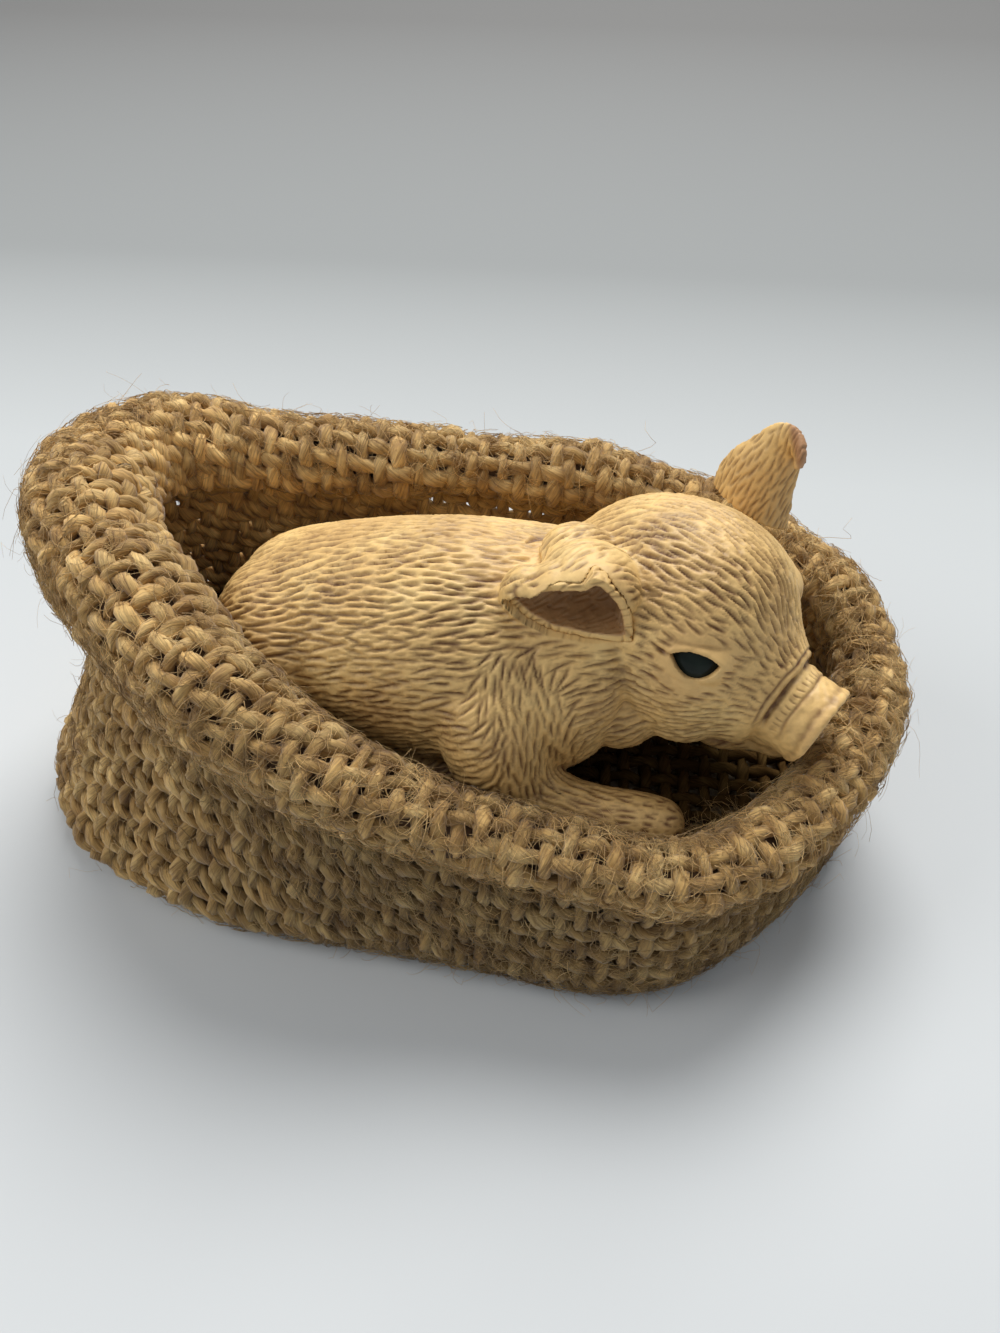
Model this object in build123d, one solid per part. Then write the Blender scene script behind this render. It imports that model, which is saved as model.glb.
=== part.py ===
from build123d import *
import math
import os

# A resin piglet that lies in a small hessian sack with a rolled mouth.
# Millimetres, +Z up, the piglet looks along +X and its right side faces -Y.
# The origin is on the surface that the sack stands on, near the middle of the sack.

# Driving sizes of the sack
mouth_length = 84.0
mouth_depth = 46.0
mouth_height = 35.0
roll_thickness = 7.6
foot_spread = 12.0
foot_round = 3.5
foot_inset = 2.2
cloth_thickness = 2.0
cloth_gap = 0.2
seam_thread = 0.8
seam_pitch = 2.3
stitch_gap = 0.6

# Driving sizes of the stuffing and of the hessian over it that carries the piglet
stuffing_top = 12.0
stuffing_gap = 0.5
lining_thickness = 2.2
lining_gap = 0.1
rest_gap = 0.3

# Driving sizes of the piglet
body_length = 43.5
body_width = 25.0
body_height = 26.0
rump_x = -25.5
body_y = 1.0
body_axis_z = 26.4
head_length = 24.0
head_width = 22.4
head_height = 23.4
muzzle_x = 35.96
muzzle_y = -6.98
muzzle_z = 25.96
head_turn = -33.0
head_dip = 15.0
snout_length = 6.0
snout_root_width = 9.4
snout_tip_width = 8.6
nostril_width = 1.3
nostril_depth = 1.5
nostril_gap = 3.4
jaw_width = 7.0
eye_radius = 2.8
ear_thickness = 1.5
right_ear_length = 12.0
right_ear_width = 8.8
left_ear_length = 10.8
left_ear_width = 8.0
foreleg_radius = 3.1
foreleg_length = 16.4
thigh_radius = 6.4
hind_leg_length = 16.0
foot_gap = 0.3
tail_radius = 1.0
tail_length = 2.6
tail_curl = 2.4

# Mouth of the sack: the middle line of its roll, once round against the clock from the left end.
# Each row holds shares of mouth_length, mouth_depth, mouth_height, roll_thickness and foot_spread.
mouth_shares = [
    (-0.478, 0.165, 1.000, 1.70, 0.96),
    (-0.433, 0.032, 0.980, 1.68, 1.20),
    (-0.363, -0.102, 0.943, 1.64, 1.14),
    (-0.262, -0.255, 0.871, 1.50, 0.80),
    (-0.154, -0.345, 0.757, 1.29, 0.50),
    (-0.041, -0.394, 0.657, 1.08, 0.36),
    (0.071, -0.412, 0.586, 0.97, 0.35),
    (0.185, -0.437, 0.543, 0.92, 0.36),
    (0.285, -0.435, 0.523, 0.92, 0.20),
    (0.386, -0.312, 0.531, 0.97, 0.14),
    (0.470, -0.130, 0.551, 1.03, 0.16),
    (0.508, 0.045, 0.586, 1.00, 0.22),
    (0.505, 0.211, 0.643, 0.97, 0.30),
    (0.458, 0.365, 0.709, 0.97, 0.29),
    (0.345, 0.490, 0.771, 1.00, 0.29),
    (0.185, 0.555, 0.843, 1.03, 0.26),
    (0.016, 0.560, 0.886, 1.03, 0.29),
    (-0.130, 0.530, 0.914, 1.08, 0.35),
    (-0.262, 0.505, 0.943, 1.18, 0.38),
    (-0.378, 0.470, 0.980, 1.37, 0.35),
    (-0.448, 0.405, 1.000, 1.52, 0.38),
    (-0.482, 0.300, 1.009, 1.64, 0.62),
]

# Outside of the wall from its round foot to the roll: shares of the height between them and of
# the way that the foot stands out.
wall_shares = [
    (0.00, 1.00),
    (0.22, 0.74),
    (0.50, 0.42),
    (0.78, 0.16),
    (1.00, 0.00),
]

# The side seams run up these stations.
left_seam = 0
right_seam = len(mouth_shares) // 2

# Cross-sections of the piglet's body from rump to chest.
# Each row holds shares of body_length, body_width, body_height, then the droop and the sideways
# shift as shares of the half height and half width.
body_shares = [
    (0.000, 0.16, 0.16, 0.22, 0.32),
    (0.030, 0.42, 0.42, 0.18, 0.30),
    (0.100, 0.66, 0.66, 0.12, 0.24),
    (0.220, 0.85, 0.82, 0.07, 0.13),
    (0.400, 0.95, 0.94, 0.02, 0.04),
    (0.600, 1.00, 1.00, 0.00, 0.00),
    (0.780, 1.00, 0.98, 0.02, 0.00),
    (0.880, 0.93, 0.90, -0.03, 0.00),
    (0.960, 0.72, 0.66, -0.18, 0.00),
    (1.000, 0.38, 0.36, -0.30, 0.00),
]

# Cross-sections of the head from its back to the root of the snout.
# Each row holds shares of head_length from the middle, head_width and head_height, then the lift as
# a share of half the head_height.
head_shares = [
    (-0.620, 0.24, 0.24, -0.20),
    (-0.580, 0.50, 0.48, -0.20),
    (-0.470, 0.78, 0.76, -0.18),
    (-0.300, 0.94, 0.93, -0.12),
    (-0.120, 1.00, 0.99, -0.07),
    (0.040, 0.98, 0.97, -0.05),
    (0.170, 0.91, 0.89, -0.07),
    (0.280, 0.74, 0.72, -0.12),
    (0.380, 0.56, 0.56, -0.16),
    (0.450, 0.45, 0.46, -0.17),
]

# Root of the snout: shares of head_length ahead of and of head_height below the head's middle,
# then the share of the head's dip that the snout keeps.
snout_root_shares = (0.42, 0.065, 0.80)

# Eyes: shares of head_length ahead, head_width to the side and head_height up.
eye_shares = (0.200, 0.299, 0.125)

# The snout from inside the head to its disc, as shares of its length and of its width there.
snout_shares = [
    (-0.30, 0.98),
    (0.00, 1.00),
    (0.22, 0.90),
    (0.32, 0.95),
    (0.42, 0.88),
    (0.54, 0.94),
    (0.66, 0.88),
    (0.86, 1.00),
    (0.94, 1.04),
    (1.00, 0.98),
]

# Lower jaw from its root to the lip.
# Each row holds shares of head_length ahead and of head_height down, then shares of jaw_width for
# the half width and the half height.
jaw_shares = [
    (0.16, 0.40, 0.62, 0.40),
    (0.34, 0.40, 0.50, 0.32),
    (0.48, 0.39, 0.34, 0.22),
]

# Roots of the ears: shares of head_length ahead, head_width to its side and head_height up.
right_ear_root_shares = (-0.07, 0.36, 0.36)
left_ear_root_shares = (-0.06, 0.44, 0.26)

# Which way each ear points and which way its hollow faces, as shares along X, Y and Z.
right_ear_way_shares = (-0.99, -0.12, -0.02)
right_ear_face_shares = (-0.10, -0.75, 0.65)
left_ear_way_shares = (0.32, 0.13, 0.93)
left_ear_face_shares = (-0.16, -0.82, 0.55)

# Bend of each ear towards its hollow at the tip, as a share of its length.
right_ear_bend_share = 0.07
left_ear_bend_share = -0.06

# An ear from its root to its tip, as shares of its length and width.
ear_shares = [
    (-0.10, 0.62),
    (0.06, 0.82),
    (0.28, 1.00),
    (0.52, 0.92),
    (0.76, 0.66),
    (0.92, 0.36),
    (1.00, 0.16),
]

# Foreleg from the shoulder to the foot.
# Each row holds shares of foreleg_length ahead of the elbow, of half the body_width to its side,
# of the rise from the foot to the body's axis, and of foreleg_radius.
elbow_share = 0.76
foreleg_shares = [
    (-0.22, 0.72, 1.00, 1.85),
    (0.00, 0.97, 0.12, 1.35),
    (0.41, 1.10, 0.00, 0.94),
    (0.82, 1.14, 0.00, 0.84),
]

# Hind leg from the thigh to the foot.
# Each row holds shares of hind_leg_length ahead of the hip, of half the body_width for the sideways
# shift of both legs and for the way to each side, then of thigh_radius for the rise above the
# stuffing, the half width and the half height.
hip_share = 0.26
hind_leg_shares = [
    (0.00, 0.10, 0.52, 1.00, 0.75, 1.00),
    (0.40, 0.00, 0.62, 0.70, 0.66, 0.80),
    (0.85, 0.00, 0.80, 0.41, 0.41, 0.41),
]

# Tail: shares of body_length, body_width and body_height for its root, then how far it tapers.
tail_root_shares = (0.017, 0.17, 0.25)
tail_taper_share = 0.45
tail_steps = 6

# Rounded end of a limb: shares of its radius along the path and of its size there.
end_shares = [
    (0.96, 0.28),
    (0.80, 0.60),
    (0.45, 0.89),
]


# Shared helpers
def ellipse_wire(centre, across, normal, half_across, half_up):
    """A closed oval outline square to a normal."""
    plane = Plane(origin=centre, x_dir=across, z_dir=normal)
    return Wire([Edge.make_ellipse(half_across, half_up, plane=plane)])


def tapered(centres, half_widths, half_heights):
    """A limb: ovals square to a path, level across, with rounded ends."""
    path = [Vector(*centre) for centre in centres]
    rows = []
    for index, centre in enumerate(path):
        before = path[max(index - 1, 0)]
        after = path[min(index + 1, len(path) - 1)]
        rows.append((centre, (after - before).normalized(), half_widths[index], half_heights[index]))
    first, last = rows[0], rows[-1]
    start, end = [], []
    for reach_share, size_share in end_shares:
        start.append(end_section(first, -reach_share, size_share))
        end.insert(0, end_section(last, reach_share, size_share))
    wires = []
    for centre, normal, half_width, half_height in start + rows + end:
        across = Vector(0, 0, 1).cross(normal).normalized()
        wires.append(ellipse_wire(centre, across, normal, half_width, half_height))
    return Solid.make_loft(wires)


def end_section(row, reach_share, size_share):
    """One of the shrinking ovals that close a limb's end."""
    centre, normal, half_width, half_height = row
    reach = min(half_width, half_height) * reach_share
    return (centre + normal * reach, normal, half_width * size_share, half_height * size_share)


def largest(shape):
    """The main solid of a cut, without crumbs."""
    return max(shape.solids(), key=lambda solid: solid.volume)


# Heights that the pieces share
bed_top = stuffing_top + lining_gap + lining_thickness
ground = bed_top + rest_gap


# Sack stations
def mouth_centre(index):
    """Middle of the roll at a station."""
    along, across, height, _, _ = mouth_shares[index % len(mouth_shares)]
    return Vector(along * mouth_length, across * mouth_depth, height * mouth_height)


def roll_radius(index):
    return mouth_shares[index % len(mouth_shares)][3] * roll_thickness / 2


def outward(index):
    """Level direction that points out of the sack at a station."""
    run = mouth_centre(index + 1) - mouth_centre(index - 1)
    return Vector(run.Y, -run.X, 0).normalized()


def foot_lean(index):
    """How far the foot of the wall stands outside the middle of the roll."""
    return mouth_shares[index % len(mouth_shares)][4] * foot_spread


def station_point(index, out, height):
    """A point of a station's upright plane."""
    centre = mouth_centre(index)
    return Vector(centre.X, centre.Y, 0) + outward(index) * out + Vector(0, 0, height)


def wall_profile(index):
    """Outside of the wall at a station, as (out, height) from its foot to its top."""
    lean = foot_lean(index)
    radius = roll_radius(index)
    top_out = cloth_thickness - radius / 3
    top = mouth_centre(index).Z - radius / 2
    points = [(lean - foot_inset, 0)]
    for height, out in wall_shares:
        rise = foot_round + (top - foot_round) * height
        points.append((top_out + (lean - top_out) * out, rise))
    return points


def wall_out(index, height):
    """Outside of the wall at a station and a height, along straight runs."""
    profile = wall_profile(index)
    for (out_a, z_a), (out_b, z_b) in zip(profile, profile[1:]):
        if height <= z_b:
            return out_a + (out_b - out_a) * (height - z_a) / (z_b - z_a)
    return profile[-1][0]


def loop_wires(make_wire):
    """One outline per station, the first one again at the end."""
    wires = [make_wire(index) for index in range(len(mouth_shares))]
    return wires + wires[:1]


# Sack
def make_rolled_cuff():
    def oval(index):
        radius = roll_radius(index)
        along = Vector(0, 0, 1).cross(outward(index))
        return ellipse_wire(mouth_centre(index), outward(index), along, radius, radius)

    return Solid.make_loft(loop_wires(oval))


def make_panels(cuff):
    """Front and rear wall of the sack, which meet at its two side seams."""
    def strip(index):
        outside = [station_point(index, out, z) for out, z in wall_profile(index)]
        inside = [station_point(index, out - cloth_thickness, z) for out, z in wall_profile(index)]
        edges = [
            Edge.make_spline(outside),
            Edge.make_line(outside[-1], inside[-1]),
            Edge.make_spline(inside[::-1]),
            Edge.make_line(inside[0], outside[0]),
        ]
        return Wire(edges)

    strips = loop_wires(strip)
    halves = (strips[: right_seam + 1], strips[right_seam:])
    return [largest(Solid.make_loft(half[::-1]) - cuff) for half in halves]


def level_outline(height, inset):
    """Closed level outline that keeps inside the wall by an inset."""
    points = []
    for index in range(len(mouth_shares)):
        out = wall_out(index, height) - cloth_thickness - inset
        points.append(station_point(index, out, height))
    return Wire([Edge.make_spline(points, periodic=True)])


def make_sack_floor():
    outline = level_outline(0, cloth_gap)
    return extrude(Face(outline), cloth_thickness, dir=(0, 0, 1)).solid()


def make_stuffing():
    bottom = cloth_thickness + cloth_gap
    heights = [bottom, (bottom + stuffing_top) / 2, stuffing_top]
    return Solid.make_loft([level_outline(height, stuffing_gap) for height in heights])


def make_inner_cloth():
    """Hessian folded in over the stuffing, on which the piglet lies."""
    bottom = stuffing_top + lining_gap
    heights = [bottom, bottom + lining_thickness]
    return Solid.make_loft([level_outline(height, stuffing_gap) for height in heights])


def make_seam_stitches(station):
    """Thread that joins the two panels, as a row of stitches up the inside of a side seam."""
    stitches = []
    top = mouth_centre(station).Z - roll_radius(station)
    level = Vector(0, 0, 1).cross(outward(station))
    for step in range(max(1, int((top - bed_top) // seam_pitch))):
        height = bed_top + seam_pitch * (step + 1 / 2)
        out = wall_out(station, height) - cloth_thickness - seam_thread / 2 - stitch_gap
        middle = station_point(station, out, height)
        reach = level * seam_thread
        radii = [seam_thread / 2] * 3
        stitches.append(tapered([middle - reach, middle, middle + reach], radii, radii))
    return Compound(children=stitches)


# Piglet, frame of its head, which reaches back from the middle of the snout's disc
turn = math.radians(head_turn)
dip = math.radians(head_dip)
level_ahead = Vector(math.cos(turn), math.sin(turn), 0)
right_hand = Vector(math.sin(turn), -math.cos(turn), 0)
ahead = level_ahead * math.cos(dip) - Vector(0, 0, math.sin(dip))
crown_way = ahead.cross(right_hand) * -1
forward_share, down_share, dip_share = snout_root_shares
snout_way = (level_ahead - Vector(0, 0, math.tan(dip) * dip_share)).normalized()
snout_root = ahead * head_length * forward_share - crown_way * head_height * down_share
head_middle = Vector(muzzle_x, muzzle_y, muzzle_z) - snout_way * snout_length - snout_root


def head_point(forward, side, rise):
    """A point by level distances ahead of, right of and above the middle of the head."""
    return head_middle + level_ahead * forward + right_hand * side + Vector(0, 0, rise)


def make_body():
    wires = []
    for along, width, height, droop, shift in body_shares:
        half_up = height * body_height / 2
        half_across = width * body_width / 2
        centre = Vector(
            rump_x + along * body_length,
            body_y + shift * body_width / 2,
            body_axis_z - droop * body_height / 2,
        )
        wires.append(ellipse_wire(centre, Vector(0, -1, 0), Vector(1, 0, 0), half_across, half_up))
    return keep_above_ground(Solid.make_loft(wires))


def keep_above_ground(solid):
    """Cuts a form flat where it lies on the stuffing."""
    plane = Plane(origin=(0, 0, ground))
    return largest(split(solid, bisect_by=plane, keep=Keep.TOP))


def make_head():
    wires = []
    for along, width, height, lift in head_shares:
        half_up = height * head_height / 2
        centre = head_middle + ahead * along * head_length + crown_way * lift * head_height / 2
        wires.append(ellipse_wire(centre, right_hand, ahead, width * head_width / 2, half_up))
    return Solid.make_loft(wires)


def snout_axis(share):
    """Middle of the snout at a share of its length from the head to the disc."""
    return head_middle + snout_root + snout_way * snout_length * share


def make_snout():
    """The snout with its cross folds, the flared disc and two nostrils."""
    wires = []
    for along, width in snout_shares:
        half = width * (snout_root_width + (snout_tip_width - snout_root_width) * along) / 2
        wires.append(ellipse_wire(snout_axis(along), right_hand, snout_way, half, half))
    snout = Solid.make_loft(wires, ruled=True)
    for side in (-1, 1):
        mouth = snout_axis(1) + right_hand * side * nostril_gap / 2
        plane = Plane(origin=mouth - snout_way * nostril_depth, x_dir=right_hand, z_dir=snout_way)
        snout = snout - Solid.make_cylinder(nostril_width / 2, nostril_depth * 2, plane)
    return largest(snout)


def make_lower_jaw():
    """The lower lip under the snout."""
    path = []
    for forward, down, _, _ in jaw_shares:
        path.append(head_point(forward * head_length, 0, -down * head_height))
    widths = [jaw_width * width for _, _, width, _ in jaw_shares]
    heights = [jaw_width * height for _, _, _, height in jaw_shares]
    return tapered(path, widths, heights)


def make_eye(side):
    forward, aside, rise = eye_shares
    centre = head_point(forward * head_length, side * aside * head_width, rise * head_height)
    return Solid.make_sphere(eye_radius, Plane(origin=centre))


def make_ear(root, way_shares, face_shares, length, width, bend):
    """A leaf of even thickness that grows from its root, with its hollow to one side."""
    way = Vector(*way_shares).normalized()
    across = way.cross(Vector(*face_shares)).normalized()
    face = across.cross(way).normalized()
    wires = []
    for along, spread in ear_shares:
        centre = root + way * length * along + face * bend * along * along
        wires.append(ellipse_wire(centre, across, way, width * spread / 2, ear_thickness / 2))
    return Solid.make_loft(wires)


def make_right_ear():
    """The near ear, folded back over the neck."""
    forward, side, rise = right_ear_root_shares
    root = head_point(forward * head_length, side * head_width, rise * head_height)
    bend = right_ear_bend_share * right_ear_length
    way, face = right_ear_way_shares, right_ear_face_shares
    return make_ear(root, way, face, right_ear_length, right_ear_width, bend)


def make_left_ear():
    """The far ear, which stands up."""
    forward, side, rise = left_ear_root_shares
    root = head_point(forward * head_length, -side * head_width, rise * head_height)
    bend = left_ear_bend_share * left_ear_length
    way, face = left_ear_way_shares, left_ear_face_shares
    return make_ear(root, way, face, left_ear_length, left_ear_width, bend)


def room_beside(x, side):
    """How far the inner edge of the roll stands from the body's middle line at a place."""
    for index in range(len(mouth_shares)):
        here, beyond = mouth_centre(index), mouth_centre(index + 1)
        if (here.X - x) * (beyond.X - x) > 0 or outward(index).Y * side > 0:
            continue
        share = (x - here.X) / (beyond.X - here.X)
        radius = max(roll_radius(index), roll_radius(index + 1))
        return side * (body_y - here.Y - share * (beyond.Y - here.Y)) - radius
    return body_width


def make_foreleg(side):
    """Upper arm, forearm and foot, stretched forward on the stuffing."""
    elbow_x = rump_x + body_length * elbow_share
    foot_z = ground + foreleg_radius * foreleg_shares[-1][-1]
    path = []
    for forward, spread, rise, size in foreleg_shares:
        x = elbow_x + forward * foreleg_length
        room = room_beside(x, side) - foot_gap - size * foreleg_radius
        y = body_y - side * min(spread * body_width / 2, room)
        path.append(Vector(x, y, foot_z + rise * (body_axis_z - foot_z)))
    radii = [foreleg_radius * size for _, _, _, size in foreleg_shares]
    return keep_above_ground(tapered(path, radii, radii))


def make_hind_leg(side):
    """Thigh, shank and foot, tucked beside the belly."""
    hip_x = rump_x + body_length * hip_share
    path = []
    for forward, shift, spread, rise, _, _ in hind_leg_shares:
        x = hip_x + forward * hind_leg_length
        y = body_y + (shift - side * spread) * body_width / 2
        path.append(Vector(x, y, ground + rise * thigh_radius))
    widths = [thigh_radius * width for _, _, _, _, width, _ in hind_leg_shares]
    heights = [thigh_radius * height for _, _, _, _, _, height in hind_leg_shares]
    return keep_above_ground(tapered(path, widths, heights))


def make_tail():
    """A short curl low on the rump."""
    forward, across, down = tail_root_shares
    root = Vector(
        rump_x + forward * body_length,
        body_y + across * body_width,
        body_axis_z - down * body_height,
    )
    path = []
    radii = []
    for step in range(tail_steps + 1):
        share = step / tail_steps
        swing = math.tau * share * 3 / 4
        curl = Vector(0, math.sin(swing), 1 - math.cos(swing)) * tail_curl / 2
        path.append(root + curl - Vector(tail_length * share, 0, 0))
        radii.append(tail_radius * (1 - tail_taper_share * share))
    return tapered(path, radii, radii)


def cut_by(solid, *larger):
    """A smaller form, trimmed where larger ones pass through it."""
    for other in larger:
        solid = largest(solid - other)
    return solid


part = {}
cuff = make_rolled_cuff()
front_panel, rear_panel = make_panels(cuff)
part["rolled_cuff"] = cuff
part["front_panel"] = front_panel
part["rear_panel"] = rear_panel
part["sack_floor"] = make_sack_floor()
part["stuffing"] = make_stuffing()
part["inner_cloth"] = make_inner_cloth()
part["left_seam_stitches"] = make_seam_stitches(left_seam)
part["right_seam_stitches"] = make_seam_stitches(right_seam)

body = make_body()
right_eye, left_eye = make_eye(1), make_eye(-1)
head = cut_by(make_head(), right_eye, left_eye, body)
snout = cut_by(make_snout(), head)
part["piglet_body"] = body
part["piglet_head"] = head
part["right_eye"] = right_eye
part["left_eye"] = left_eye
part["snout"] = snout
part["lower_jaw"] = cut_by(make_lower_jaw(), head, snout, body)
part["right_ear"] = cut_by(make_right_ear(), head, body)
part["left_ear"] = cut_by(make_left_ear(), head, body)
part["right_foreleg"] = cut_by(make_foreleg(1), body, head)
part["left_foreleg"] = cut_by(make_foreleg(-1), body, head)
part["right_hind_leg"] = cut_by(make_hind_leg(1), body, part["right_foreleg"])
part["left_hind_leg"] = cut_by(make_hind_leg(-1), body, part["left_foreleg"])
part["tail"] = cut_by(make_tail(), body)

os.makedirs("parts", exist_ok=True)
for name, shape in part.items():
    export_step(shape, f"parts/{name}.step")
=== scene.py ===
# %% [markdown]
# # A resin piglet in a small hessian sack
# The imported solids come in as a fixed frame. Every piece made below stands for one or more of
# them, in metres and in the same place, with more of what the eye sees: yarn, fibres, a carved
# coat and paint.

import math
from itertools import product

import bmesh
import bpy
import numpy as np
from mathutils import Matrix, Vector, kdtree
from mathutils.bvhtree import BVHTree


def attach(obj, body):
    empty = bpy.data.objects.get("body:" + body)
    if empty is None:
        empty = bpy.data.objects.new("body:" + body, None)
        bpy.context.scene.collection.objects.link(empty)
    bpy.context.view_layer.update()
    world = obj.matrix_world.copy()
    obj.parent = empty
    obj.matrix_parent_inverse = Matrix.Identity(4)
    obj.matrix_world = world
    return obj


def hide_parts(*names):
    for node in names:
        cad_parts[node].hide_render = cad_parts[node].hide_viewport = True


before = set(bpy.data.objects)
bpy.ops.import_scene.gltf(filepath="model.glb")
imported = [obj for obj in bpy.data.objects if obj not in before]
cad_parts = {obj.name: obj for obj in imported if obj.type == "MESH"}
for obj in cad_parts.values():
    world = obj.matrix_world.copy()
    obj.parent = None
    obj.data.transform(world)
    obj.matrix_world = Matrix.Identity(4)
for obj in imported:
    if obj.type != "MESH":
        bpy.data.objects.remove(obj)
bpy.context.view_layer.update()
millimetre = 0.001
rng = np.random.default_rng(7)
upward = np.array([0.0, 0.0, 1.0])
print("nodes", len(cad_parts))

# %% [markdown]
# ## Materials
# Jute is a pale brown bast fibre. Its yarn is a soft bundle that is hardly twisted, so it shows
# fine lines that lean along the yarn, and every stretch of yarn has its own tone. The lines follow
# the yarn's own UV map. A shade attribute on the yarns holds that tone together with painted light
# and shade, which follows the place: lighter on the cuff, darker on the front of the wall. Two
# materials from one recipe do for all the cloth, the second a copy darkened with painted shade.

# %% Node helpers
def new_material(name):
    material = bpy.data.materials.new(name)
    material.use_nodes = True
    shader = material.node_tree.nodes["Principled BSDF"]
    return material, material.node_tree, shader


def add_node(tree, kind, inputs=(), **settings):
    """A node with its settings, its constants by socket name and its links by socket."""
    node = tree.nodes.new(kind)
    for key, value in settings.items():
        setattr(node, key, value)
    for key, value in dict(inputs).items():
        if isinstance(value, bpy.types.NodeSocket):
            tree.links.new(value, node.inputs[key])
        else:
            node.inputs[key].default_value = value
    return node


def ramp(tree, source, stops):
    """Colours along a value, from (place, colour) pairs."""
    node = add_node(tree, "ShaderNodeValToRGB", {"Fac": source})
    line = node.color_ramp
    while len(line.elements) < len(stops):
        line.elements.new(0.5)
    for element, (place, colour) in zip(line.elements, stops):
        element.position = place
        element.color = (*colour, 1)
    return node.outputs["Color"]


def blend_colours(tree, factor, first, second, mode="MIX"):
    node = tree.nodes.new("ShaderNodeMix")
    node.data_type = "RGBA"
    node.blend_type = mode
    for socket, value in ((0, factor), (6, first), (7, second)):
        if isinstance(value, bpy.types.NodeSocket):
            tree.links.new(value, node.inputs[socket])
        elif socket:
            node.inputs[socket].default_value = (*value, 1)
        else:
            node.inputs[socket].default_value = value
    return node.outputs[2]


def noise_node(tree, place, scale, detail, roughness=0.5, distortion=0.0):
    """A cloudy value from 0 to 1."""
    names = ("Vector", "Scale", "Detail", "Roughness", "Distortion")
    values = (place, scale, detail, roughness, distortion)
    return add_node(tree, "ShaderNodeTexNoise", dict(zip(names, values))).outputs["Fac"]


def object_place(tree):
    return add_node(tree, "ShaderNodeTexCoord").outputs["Object"]


def attribute_node(tree, name, output="Fac"):
    return add_node(tree, "ShaderNodeAttribute", attribute_name=name).outputs[output]


def finish_look(tree, shader, colour, looks, bump=None):
    """Links the colour, sets named shader inputs and adds a (height, strength, distance) bump."""
    tree.links.new(colour, shader.inputs["Base Color"])
    for name, value in looks.items():
        shader.inputs[name].default_value = value
    if bump:
        node = add_node(tree, "ShaderNodeBump", dict(zip(("Height", "Strength", "Distance"), bump)))
        tree.links.new(node.outputs["Normal"], shader.inputs["Normal"])


def mottled_material(name, noise, dark, light, looks, bump=None):
    """Two colours that blend over a noise, with an optional (strength, distance) bump."""
    material, tree, shader = new_material(name)
    cloud = noise_node(tree, object_place(tree), *noise)
    colour = ramp(tree, cloud, [(0.3, dark), (0.7, light)])
    finish_look(tree, shader, colour, looks, (cloud, *bump) if bump else None)
    return material


# %% Jute yarn
def jute_material(name, dark, middle, light, shine=0.3):
    """Fibre lines along the yarn, over a tone that drifts from place to place."""
    material, tree, shader = new_material(name)
    along = attribute_node(tree, "fibre", "Vector")
    stretched = add_node(tree, "ShaderNodeMapping", {"Vector": along, "Scale": (0.40, 3.4, 3.4)})
    lines = noise_node(tree, stretched.outputs["Vector"], 1.0, 3.0, 0.7, 0.5)
    drift = noise_node(tree, object_place(tree), 300.0, 2.0, 0.6)
    base = ramp(tree, drift, [(0.30, dark), (0.50, middle), (0.68, light)])
    fibre = ramp(tree, lines, [
        (0.30, (0.40, 0.33, 0.28)), (0.48, (0.92, 0.90, 0.87)), (0.66, (1.30, 1.27, 1.18)),
    ])
    colour = blend_colours(tree, 1.0, base, fibre, "MULTIPLY")
    # The shade attribute multiplies in each yarn's own tone and the painted light and shade of its place.
    colour = blend_colours(tree, 1.0, colour, attribute_node(tree, "shade"), "MULTIPLY")
    looks = {"Roughness": 0.75, "Specular IOR Level": shine}
    looks.update({"Sheen Weight": shine * 0.7, "Sheen Roughness": 0.45})
    finish_look(tree, shader, colour, looks, (lines, 0.9, 0.0002))
    return material


golden_tones = (0.330, 0.190, 0.066), (0.520, 0.330, 0.122), (0.690, 0.480, 0.205)
# Painted shade: shaded_tones are the golden jute darkened, for cloth that lies in shade deep inside the sack.
shaded_tones = (0.045, 0.023, 0.008), (0.080, 0.044, 0.015), (0.125, 0.075, 0.026)
golden_jute = jute_material("jute_golden", *golden_tones)
shaded_jute = jute_material("jute_shaded", *shaded_tones, shine=0.0)
print("jute materials", golden_jute.name, shaded_jute.name)

# %% [markdown]
# The rolled cuff hides more layers of the same cloth. Between its outer yarns they show dark, as
# they lie in shade, so the core is painted in shade: a dark brown colour with a fine bump.

# %% Cloth under the outer yarns, in painted shade
shaded_core_jute = mottled_material(
    "jute_core_shaded", (900.0, 3.0, 0.7), (0.050, 0.026, 0.014), (0.150, 0.088, 0.045), {"Roughness": 0.9}, (0.8, 0.0003)
)

# %% [markdown]
# The piglet is cast resin. Its coat is carved as short strokes, painted a light yellow tan, and a
# thin brown wash was wiped over it, so it stays in the grooves. An attribute on the vertices, set
# where the strokes are cut, says how much of that brown stays; the same attribute also carries
# painted shade, which darkens the lower side of the body, the forelegs and the hollows of the
# ears. A blush attribute holds the pinker paint of the ears, lips and snout.

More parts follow.
